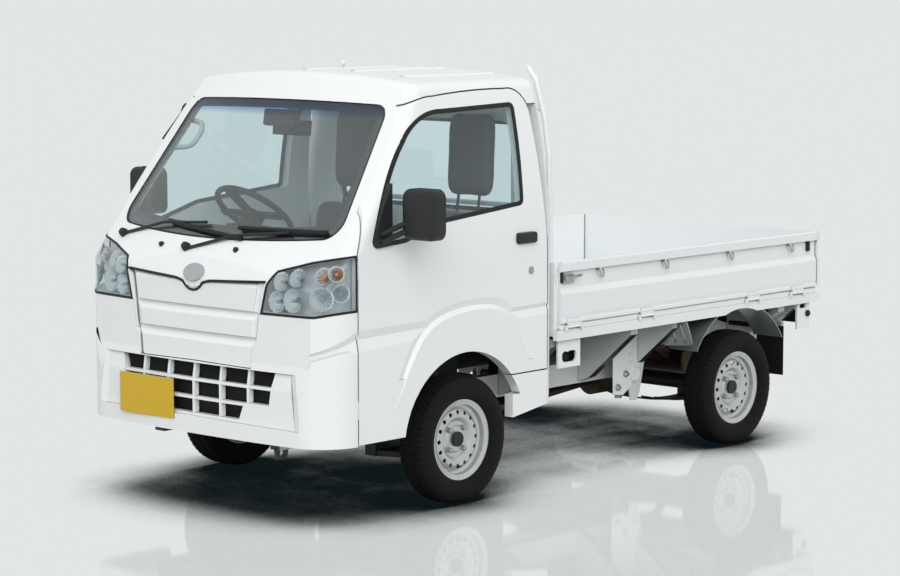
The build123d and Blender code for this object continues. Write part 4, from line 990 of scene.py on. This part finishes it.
@dataclass
class Grille:
    """Dark shroud behind the bars of the lower grille."""
    half_width: float = 468.0
    span_z: Pair = (392.0, 620.0)
    sight_z: float = 466.0             # height of the bar that it stands behind
    depth: float = 30.0
    bow: float = 12000.0               # radius of its bow, twice over
    count: int = 24

    def build(self) -> None:
        """Close the opening with a bowed black shroud just behind the bars."""
        spot, _ = Skin("front_grille", "front_bumper").face(0, self.sight_z)
        across = [self.half_width * (2 * i / self.count - 1) for i in range(self.count + 1)]
        verts = [Vector((x, spot.y + self.depth + x * x / self.bow, z)) * MM
                 for z in self.span_z for x in across]
        faces = [(i, i + 1, i + self.count + 2, i + self.count + 1) for i in range(self.count)]
        shroud = mesh_object("grille_shroud", verts, faces)
        shroud.modifiers.new("sheet", "SOLIDIFY").thickness = 3 * MM
        place(shroud, Finish.SHROUD)


@dataclass
class Interior:
    """Padded seats, dashboard trim and steering gear seen through the glass."""
    seat_x: float = 340.0
    cushion: tuple[Point, Point] = ((-232, -962, 690), (232, -500, 786))
    back: tuple[Point, Point] = ((-220, -500, 800), (220, -395, 1160))
    rest: tuple[Point, Point] = ((-122, -430, 1222), (122, -345, 1575))
    recline: float = 0.13              # lean of the backrest, back per height
    padding: float = 0.8               # share of a seat's solid that is padding
    pull_in: float = 0.035             # of the sides between the corners, as a share
    rounding: float = 0.18             # fall of the face towards its corners, as a share
    squareness: float = 0.3            # of the outline; 1 would be round
    side_channel: float = 0.62         # place of the sewn channels, as a share of half the pad
    cross_channel: float = 0.5
    channel_width: float = 0.03
    pad_rings: int = 24
    pad_steps: int = 72

    def build(self) -> None:
        """Dress the inside of the cab and upholster the seats."""
        dress(Finish.SEAT_CLOTH, "seats")
        dress(Finish.TRIM_GREY, "dashboard")
        dress(Finish.BLACK_PLASTIC, "steering_column", "steering_wheel")
        shown = [self.upholster(side) for side in SIDES]
        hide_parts("seats")
        self.mirror_and_handles()

    def pad(self, name: str, box: tuple[Point, Point], middle_x: float, lean: float,
            crown: float) -> Piece:
        """Model one cushion: a crowned closed form, drawn in between its corners, with sewn channels.

        Args:
            name: Name of the pad.
            box: Its lowest and highest corner before it leans, from the middle of its seat.
            middle_x: Place of the middle of its seat.
            lean: Distance it leans back for each millimetre of height.
            crown: Depth of its channels.

        Returns:
            The pad.
        """
        a, b = (Vector(corner) for corner in box)
        middle, half = (a + b) / 2, (b - a) / 2
        flat_axis = 1 if half.z > half.y else 2
        wide_axis = 3 - flat_axis

        def dent(share: float, channel: float) -> float:
            """Depth of the channels at a share of the way from the middle."""
            return math.exp(-((abs(share) - channel) / self.channel_width) ** 2)

        rows = []
        for ring in range(self.pad_rings + 1):
            t = math.pi * ring / self.pad_rings
            level, spread = -math.cos(t), max(0.02, math.sin(t) ** 0.32)
            points = []
            for i in range(self.pad_steps):
                turn = 2 * math.pi * i / self.pad_steps
                u, v = (math.copysign(abs(c) ** self.squareness, c) * spread
                        for c in (math.cos(turn), math.sin(turn)))
                pull = 1 - self.pull_in * (1 - min(1.0, abs(u * v)))
                top = 1 - self.rounding * (u * u + v * v) / 2
                channels = dent(u, self.side_channel) + dent(v, self.cross_channel) * 0.6
                point = Vector((half.x * u * pull, 0, 0))
                point[wide_axis] = half[wide_axis] * v * pull
                point[flat_axis] = (half[flat_axis] * level * top
                                    - math.copysign(crown * 0.3 * channels, level) * (spread > 0.5))
                spot = middle + point
                points.append(Vector((spot.x + middle_x, spot.y + (spot.z - a.z) * lean, spot.z)))
            rows.append(points)
        return loft(name, rows)

    def upholster(self, side: Side) -> Piece:
        """Make one seat's cushion, backrest and headrest, with its base and the headrest's stems.

        Args:
            side: Side of the truck.

        Returns:
            The seat's cushion.
        """
        middle, pads = side.sign * self.seat_x, []
        for name, box, lean, crown, finish in (
                ("cushion", self.cushion, 0.0, 16.0, Finish.SEAT_CLOTH),
                ("backrest", self.back, self.recline, 14.0, Finish.SEAT_CLOTH),
                ("headrest", self.rest, 0.05, 8.0, Finish.SEAT_VINYL)):
            pads.append(self.pad(f"seat_{side.name}_{name}", box, middle, lean, crown))
            place(pads[-1], finish, slot="seat_cloth")
        foot = rectangle((middle - 190, -940, 664), (middle + 190, -500, 664))
        place(panel(f"seat_{side.name}_base", foot, (0, 0, 1), 40, 6), Finish.BLACK_PLASTIC)
        for offset in (-60, 60):
            x = middle + offset
            place(rod(f"seat_{side.name}_stem_{offset}", [(x, -410, 1130), (x, -390, 1250)], 6),
                  Finish.BLACK_PLASTIC, slot="reflector")
        return pads[0]

    def mirror_and_handles(self) -> None:
        """Hang the sensor housing and the room mirror behind the screen, and the pillar grab handle."""
        housing = panel("screen_sensor_housing", [(-100, -1182, 1612), (90, -1182, 1612), (120, -1232, 1545),
                                                  (-60, -1232, 1545)], (0, 0.8, -0.1), 42, 10)
        place(housing, Finish.BLACK_PLASTIC)
        glass = panel("room_mirror", [(-105, -1120, 1560), (105, -1120, 1560), (105, -1128, 1500),
                                      (-105, -1128, 1500)], (0, 1, 0.1), 18)
        stem = rod("mirror_stem", [(0, -1112, 1545), (0, -1060, 1600), (0, -1010, 1700)], 7)
        place(joined("room_mirror_and_stem", [glass, stem]), Finish.BLACK_PLASTIC)
        handle = rod("grab_handle", [(-560, -1165, 1545), (-480, -1180, 1535), (-470, -1190, 1505),
                                     (-478, -1240, 1440), (-560, -1262, 1432)], 11)
        place(handle, Finish.HANDLE_GREY)


@dataclass
class LoadBed:
    """Drop-side load bed with headboard, guard, gates and their fittings."""
    painted: tuple[str, ...] = ("bed_headboard", "cab_guard", "gate_left", "gate_right", "tailgate")
    hooks: tuple[float, ...] = (20.0, 477.0, 961.0, 1436.0)
    hook_radius: float = 3.5
    rail_x: float = 730.0
    # along the gate, from and to, of the stops at its two ends
    stops: Outline = ((1583.0, 1601.0), (-232.0, -226.0))
    stop_z: Pair = (862.0, 908.0)
    rubber_stop: Point = (714.0, 1606.0, 563.0)
    ribs: tuple[float, ...] = (585.0, 635.0, 690.0)        # across, of the ribs in the front splash plate
    gate_hinges: tuple[float, ...] = (-160.0, 345.0, 1140.0, 1495.0)
    tail_hinges: tuple[float, ...] = (-560.0, -190.0, 190.0, 560.0)
    hinge_half: float = 51.0
    sill_z: Pair = (659.5, 684.0)
    sill_edge: float = 3.0
    side_sill: tuple[float, float, float, float] = (706.0, 724.0, -236.0, 1656.0)  # across, along
    tail_sill: tuple[float, float, float, float] = (1664.0, 1684.0, -704.0, 704.0)  # along, across

    def build(self) -> None:
        """Dress the bed and add latches, hooks, stops and splash plates."""
        dress(Finish.BED_ENAMEL, *self.painted)
        dress(Finish.BED_UNDERSEALED_AND_SHADED, "bed_floor")
        dress(Finish.GUARD_GREY, "mudguards")
        dress(Finish.FLAP, "mud_flaps")
        for side in SIDES:
            self.gate_fittings(side)
            self.splash_plates(side)
            self.sills(f"sill_{side.name}", self.gate_hinges, self.side_sill,
                       lambda along, across: (side.sign * across, along))
        self.sills("sill_rear", self.tail_hinges, self.tail_sill, lambda along, across: (along, across))

    def sills(self, name: str, hinges: tuple[float, ...], ends: tuple[float, float, float, float],
              spot: Callable[[float, float], Pair]) -> None:
        """Stand a low sill under one gate's foot, interrupted at its hinges.

        Args:
            name: Name of the piece.
            hinges: Places of the hinges along the gate.
            ends: Where the sill starts and ends across the gate, and then along it.
            spot: Turns a place along and across the gate into x and y.
        """
        near, far, start, end = ends
        breaks = [start] + [h + d for h in hinges for d in (-self.hinge_half, self.hinge_half)] + [end]
        (low, high), edge = self.sill_z, self.sill_edge
        section = ((near, low), (far, low), (far, high - edge), (far - edge, high), (near + edge, high),
                   (near, high - edge))
        pieces = [loft("sill", [[Vector(spot(along, across) + (z,)) for across, z in section]
                                for along in span], smooth=False) for span in zip(breaks[::2], breaks[1::2])]
        place(smooth_by_angle(joined(name, pieces), 20), Finish.BED_ENAMEL, slot="body_white")

    def gate_fittings(self, side: Side) -> None:
        """Add rope hooks, the corner latch and the black end stops of one gate.

        Args:
            side: Side of the truck.
        """
        body, x = f"gate_{side.name}", self.rail_x
        bend = ((-4, -12, 902), (8, -12, 900), (10, -4, 870), (10, 8, 872), (8, 14, 900), (-4, 14, 903))
        hooks = [rod("hook", side.points([(x + dx, y + dy, z) for dx, dy, z in bend]), self.hook_radius, 10)
                 for y in self.hooks]
        place(joined(f"{body}_rope_hooks", hooks), Finish.ZINC, body, "reflector")
        plate = panel(f"{body}_latch_plate", side.points(rectangle((x - 12, -222, 858), (x - 12, -150, 896))),
                      side.out, 6, 2)
        lever = rod("lever", side.points([(x - 4, -205, 880), (x + 6, -190, 884), (x + 8, -120, 889)]), 6)
        boss = lathe("boss", [(0, 13), (9, 13), (11, 10), (11, 0)], side.spot(x - 8, -205, 880), side.out, 20)
        place(joined(f"{body}_latch_lever", [lever, boss]), Finish.ZINC, body, "reflector")
        place(plate, Finish.ZINC, body, "reflector")
        low, high = self.stop_z
        for number, (a, b) in enumerate(self.stops):
            face = side.points(rectangle((x - 22, a, low), (x - 22, b, high)))
            place(panel(f"{body}_stop_{number}", face, side.out, 20, 2), Finish.SEAL, body)
        bump = lathe(f"corner_stop_{side.name}", [(-8, 15), (6, 15), (10, 12), (11, 0)],
                     side.spot(*self.rubber_stop), side.out, 24)
        place(smooth_by_angle(bump), Finish.SEAL, slot="rubber")

    def splash_plates(self, side: Side) -> None:
        """Hang the ribbed splash plate ahead of the rear wheel.

        Args:
            side: Side of the truck.
        """
        outline = side.points([(566, 640, 618), (722, 640, 618), (722, 690, 500), (566, 690, 486)])
        sheet = panel(f"splash_{side.name}", outline, (0, 1, 0), 4, 1.5)
        ribs = [rod("rib", side.points([(x, 638, 604), (x, 662, 560), (x, 684, 512)]), 6) for x in self.ribs]
        edge = rod("edge", side.points([(722, 642, 616), (724, 668, 560), (722, 690, 500)]), 4)
        place(joined(f"splash_{side.name}_ribs", ribs + [edge]), Finish.GUARD_GREY, slot="guard_grey")
        place(sheet, Finish.GUARD_GREY, slot="guard_grey")


@dataclass
class RunningGear:
    """Chassis, axles and power train."""
    black: tuple[str, ...] = ("leaf_springs", "rear_axle", "front_suspension", "knuckle_left",
                              "knuckle_right", "propeller_shaft", "fuel_tank")
    can_at: Point = (0, 1300, 325)
    can: Outline = ((-255, 0), (-255, 66), (-250, 74), (-244, 70), (244, 70), (250, 74), (255, 66),
                    (255, 0))
    pipe_radius: float = 20.0
    pipes: tuple[tuple[Point, ...], ...] = (
        ((190, 862, 300), (190, 905, 330), (190, 945, 405), (190, 1120, 410), (170, 1230, 350),
         (160, 1280, 330)),
        ((-200, 1330, 320), (-250, 1420, 318), (-290, 1500, 312), (-300, 1640, 296)))
    cheek_x: float = 467.5
    cheek_thick: float = 5.0
    # y, z
    cheek: Outline = ((435, 278), (432, 474), (503, 605), (649, 553), (637, 403), (560, 300), (507, 270))
    collars: tuple[tuple[float, float, float], ...] = ((563, 438, 13), (588, 362, 30))  # y, z, radius
    bolts: Outline = ((522, 366), (465, 310))              # y, z
    bolt: Outline = ((0, 16), (4, 16), (4, 11), (14, 11), (15, 0))

    def build(self) -> None:
        """Dress the chassis and the power train."""
        dress(Finish.FRAME_ENAMEL, "chassis_frame")
        dress(Finish.CHASSIS_BLACK, *self.black)
        dress(Finish.ENGINE_CASTING, "engine")
        dress(Finish.EXHAUST, "exhaust")
        self.silencer()
        for side in SIDES:
            self.hanger_cheek(side)

    def silencer(self) -> None:
        """Lead the exhaust over the axle to a crosswise silencer and a tail pipe."""
        pieces = [lathe("can", self.can, Vector(self.can_at), Vector((1, 0, 0)), 40)]
        pieces += [rod("pipe", points, self.pipe_radius, 16) for points in self.pipes]
        place(smooth_by_angle(joined("silencer_and_tail_pipe", pieces)), Finish.EXHAUST, slot="exhaust_steel")

    def hanger_cheek(self, side: Side) -> None:
        """Cover a front spring hanger's outer side with its pressed cheek, hole collars and bolts.

        Args:
            side: Side of the truck.
        """
        outline = side.points([(self.cheek_x, y, z) for y, z in self.cheek])
        face_x = self.cheek_x + self.cheek_thick
        place(panel(f"spring_hanger_cheek_{side.name}", outline, side.out, self.cheek_thick, 2),
              Finish.BED_ENAMEL, slot="body_white")
        collars = [lathe("collar", [(0, r + 9), (5, r + 6), (7, r), (2, r - 3), (2, 0)],
                         side.spot(face_x, y, z), side.out) for y, z, r in self.collars]
        place(smooth_by_angle(joined(f"hanger_collars_{side.name}", collars)), Finish.BED_ENAMEL,
              slot="body_white")
        bolts = [lathe("bolt", self.bolt, side.spot(face_x, y, z), side.out, 6) for y, z in self.bolts]
        place(joined(f"hanger_bolts_{side.name}", bolts), Finish.ZINC, slot="wheel_steel")


@dataclass
class Wheels:
    """Four steel wheels: treaded tyres, nuts, hub caps and valves."""
    radius: float = 266.0
    tread_half: float = 52.0
    crown: Pair = (4.0, 2.6)           # fall of the tread at its edge, and its power
    # side wall beside the middle plane: out along the axle, radius
    wall: Outline = ((60, 256), (66, 246), (70, 234), (72.2, 222), (72.3, 212), (70.5, 200), (67, 188),
                     (60, 178), (53, 172), (50.5, 169.5), (48.5, 166.5))
    tread_steps: int = 40
    grooves: tuple[float, ...] = (-21.0, 0.0, 21.0)
    groove_half: float = 3.4
    groove_depth: float = 5.5
    tread_foot: float = 250.0          # radius within which the wall has no tread
    block_foot: float = 253.0          # and within which its shoulder has no slots
    pitches: int = 62
    pitch_steps: int = 6
    cap: Outline = ((16, 27), (30, 27), (34, 24), (36, 16), (33, 13), (33, 0))
    studs: tuple[int, float] = (4, 59.0)                   # count, distance from the axle
    nut: Outline = ((14, 13), (17, 11.5), (32, 11.5), (34, 9), (34, 0))
    valve: Outline = ((-6, 5), (16, 4.5), (17, 3), (26, 3), (27, 0))
    valve_at: Point = (24, 0, -118)

    def build(self) -> None:
        """Dress the rims and build what stands on them."""
        for end in ("front", "rear"):
            for side in SIDES:
                name = f"{end}_{side.name}"
                low, high = (Vector(c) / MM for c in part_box(f"tyre_{name}"))
                dress(Finish.WHEEL_SILVER, f"rim_{name}")
                tyre = self.tyre(f"treaded_tyre_{name}", (low + high) / 2)
                place(tyre, Finish.TYRE, f"wheel_{name}", "tyre")
                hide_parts(f"tyre_{name}")
                self.hub(name, (low + high) / 2, side)

    def section(self) -> Outline:
        """Draw the tyre's full outline, with close points over the tread.

        Returns:
            Points of (out along the axle, radius), from one bead to the other.
        """
        half, (fall, power) = self.tread_half, self.crown
        tread = [-half + i * 2 * half / self.tread_steps for i in range(self.tread_steps + 1)]
        crown = [(a, self.radius - fall * (abs(a) / half) ** power) for a in tread]
        return [(-a, r) for a, r in reversed(self.wall)] + crown + list(self.wall)

    def depth(self, across: float, radius: float, phase: int) -> float:
        """Find how deep the tread's grooves, sipes and slots are at one point.

        Args:
            across: Distance from the tyre's middle plane.
            radius: Radius of the uncut tyre there.
            phase: Number of the step within the tread's pitch.

        Returns:
            Depth in millimetres.
        """
        if radius <= self.tread_foot:
            return 0.0
        if any(abs(across - groove) < self.groove_half for groove in self.grooves):
            return self.groove_depth
        if abs(across) > 30 and phase in (0, 1) and radius > self.block_foot:
            return self.groove_depth * 0.9
        if self.groove_half < abs(across) < 20 and phase == (2 if across > 0 else 5):
            return self.groove_depth * 0.55
        return 0.0

    def tyre(self, name: str, centre: Vector) -> Piece:
        """Build one tyre with tread blocks cut by ribs, sipes and shoulder slots.

        Args:
            name: Name of the tyre.
            centre: Middle of the wheel in millimetres.

        Returns:
            The tyre.
        """
        steps, rings = self.pitches * self.pitch_steps, []
        for i in range(steps):
            turn = 2 * math.pi * i / steps
            ring = []
            for a, r in self.section():
                radius = r - self.depth(a, r, i % self.pitch_steps)
                ring.append(centre + Vector((a, radius * math.cos(turn), radius * math.sin(turn))))
            rings.append(ring)
        return smooth_by_angle(loft(name, rings, closed=True), 40)

    def hub(self, name: str, centre: Vector, side: Side) -> None:
        """Add the centre cap, hexagon nuts and tyre valve of one wheel.

        Args:
            name: End and side of the wheel.
            centre: Middle of the wheel in millimetres.
            side: Side of the truck.
        """
        body = f"wheel_{name}"
        cap = lathe(f"hub_cap_{name}", self.cap, centre, side.out, 36, (6, 0.03))
        place(smooth_by_angle(cap), Finish.BLACK_PLASTIC, body)
        (count, reach), nuts = self.studs, []
        for i in range(count):
            turn = math.pi / 4 + 2 * math.pi * i / count
            spot = centre + Vector((0, reach * math.cos(turn), reach * math.sin(turn)))
            nuts.append(lathe("nut", self.nut, spot, side.out, 6))
        place(joined(f"wheel_nuts_{name}", nuts), Finish.ZINC, body, "wheel_steel")
        valve = lathe(f"tyre_valve_{name}", self.valve, centre + side.spot(*self.valve_at),
                      side.spot(1, 0, 0.35), 12)
        place(valve, Finish.SEAL, body, "rubber")


@dataclass
class Studio:
    """Pale floor, plain backdrop light and the camera."""
    backdrop: str = "#E2E6E5"
    shaded: str = "#0E1719"            # the floor in full shade
    floor_bounce: str = "#A6AAA9"      # what the floor gives back to the truck's lower half
    floor_half: float = 400.0
    camera_at: Point = (7.8668, -8.8019, 2.1324)
    azimuth: float = 42.228            # degrees from the front towards the truck's left
    elevation: float = 6.646
    lens_mm: float = 105.82
    shift: Pair = (-0.0011, 0.0021)
    # soft suns: name, degrees from the front towards the left, degrees up, width in degrees, strength
    suns: tuple[tuple[str, float, float, float, float], ...] = (("key_light", 52.0, 32.0, 50.0, 1.6),
                                                                ("front_light", 5.0, 40.0, 60.0, 0.3))
    sky: float = 0.74
    shade_reach: float = 0.66          # metres over which the truck darkens the floor
    shade_open: Pair = (0.42, 0.86)    # openness at which the shade is full, and gone
    shade_power: float = 1.7
    mirror_share: float = 0.2

    def build(self) -> None:
        """Lay the floor, hang the lamps and set the camera up."""
        self.lay_floor()
        for name, azimuth, elevation, width, strength in self.suns:
            self.hang(name, azimuth, elevation, width, strength)
        self.light_world()
        self.set_camera()

    def lay_floor(self) -> None:
        """Lay a floor in the backdrop's colour, with soft shade under the truck and a faint mirror image.

        The camera and mirrors see its colour as it is written; it lights the truck as matt paint would.
        """
        half = self.floor_half
        floor = mesh_object("studio_floor", rectangle((-half, -half, 0), (half, half, 0)), [(0, 1, 2, 3)], False)
        material, graph = new_material("polished_pale_floor")
        painted_shade_openness = graph.add("AmbientOcclusion", {"Distance": self.shade_reach, "samples": 16}).outputs["AO"]
        full, gone = self.shade_open
        light = graph.math("POWER", graph.span(painted_shade_openness, {"interpolation_type": "SMOOTHSTEP", "From Min": full,
                                                      "From Max": gone}), self.shade_power)
        colour = graph.mix(light, linear(self.shaded), linear(self.backdrop))
        plain = graph.add("Emission", {"Strength": 1.0, "Color": colour}).outputs["Emission"]
        matt = graph.add("BsdfDiffuse", {"Color": linear(self.floor_bounce)}).outputs["BSDF"]
        mirror = graph.add("BsdfGlossy", {"Color": linear("#FFFFFF"), "Roughness": 0.05}).outputs["BSDF"]
        shown = graph.share_shaders(graph.math("MULTIPLY", light, self.mirror_share), plain, mirror)
        graph.add("OutputMaterial", {"Surface": graph.share_shaders(graph.seen_directly(), matt, shown)})
        floor.data.materials.append(material)

    def hang(self, name: str, azimuth: float, elevation: float, width: float, strength: float) -> None:
        """Hang one distant soft lamp.

        Args:
            name: Name of the lamp.
            azimuth: Its direction, in degrees from the front towards the truck's left.
            elevation: Its height, in degrees.
            width: Its width, in degrees.
            strength: Its strength.
        """
        lamp = bpy.data.lights.new(name, "SUN")
        lamp.energy, lamp.angle = strength, math.radians(width)
        obj = bpy.data.objects.new(name, lamp)
        obj.visible_glossy = False         # the floor mirrors the plain backdrop, not the lamp
        obj.rotation_euler = (-direction(azimuth, elevation)).to_track_quat("-Z", "Y").to_euler()
        bpy.context.scene.collection.objects.link(obj)

    def light_world(self) -> None:
        """Fill the world with soft light; the camera, glass and metal see the backdrop colour."""
        world = bpy.data.worlds.new("studio_world")
        bpy.context.scene.world = world
        world.use_nodes = True
        graph = Graph(world.node_tree)
        soft, seen = (graph.add("Background", {"Color": linear(colour), "Strength": strength})
                      for colour, strength in (("#F4F6F6", self.sky), (self.backdrop, 1.0)))
        graph.add("OutputWorld", {"Surface": graph.share_shaders(
            graph.seen_directly(), soft.outputs["Background"], seen.outputs["Background"])})

    def set_camera(self) -> None:
        """Place the camera by its azimuth, elevation and position."""
        back, turn = direction(self.azimuth, self.elevation), math.radians(self.azimuth)
        right = Vector((math.cos(turn), math.sin(turn), 0.0))
        lens = bpy.data.cameras.new("camera")
        lens.lens, lens.sensor_width, lens.clip_end = self.lens_mm, 36.0, 200.0
        lens.shift_x, lens.shift_y = self.shift
        camera = bpy.data.objects.new("camera", lens)
        camera.matrix_world = Matrix((right, back.cross(right), back)).transposed().to_4x4()
        camera.location = self.camera_at
        bpy.context.scene.collection.objects.link(camera)
        bpy.context.scene.camera = camera
        bpy.context.scene.view_settings.view_transform = "Standard"


def direction(azimuth: float, elevation: float) -> Vector:
    """Direction at degrees from the front towards the truck's left, and degrees up."""
    a, e = math.radians(azimuth), math.radians(elevation)
    return Vector((math.sin(a) * math.cos(e), -math.cos(a) * math.cos(e), math.sin(e)))


def main() -> None:
    """Dress the truck, then build the studio round it."""
    for assembly in (Cab(), Lamps(), Grille(), Interior(), LoadBed(), RunningGear(), Wheels(), Studio()):
        assembly.build()
        LOG.info("%s built", type(assembly).__name__)


if __name__ == "__main__":
    main()
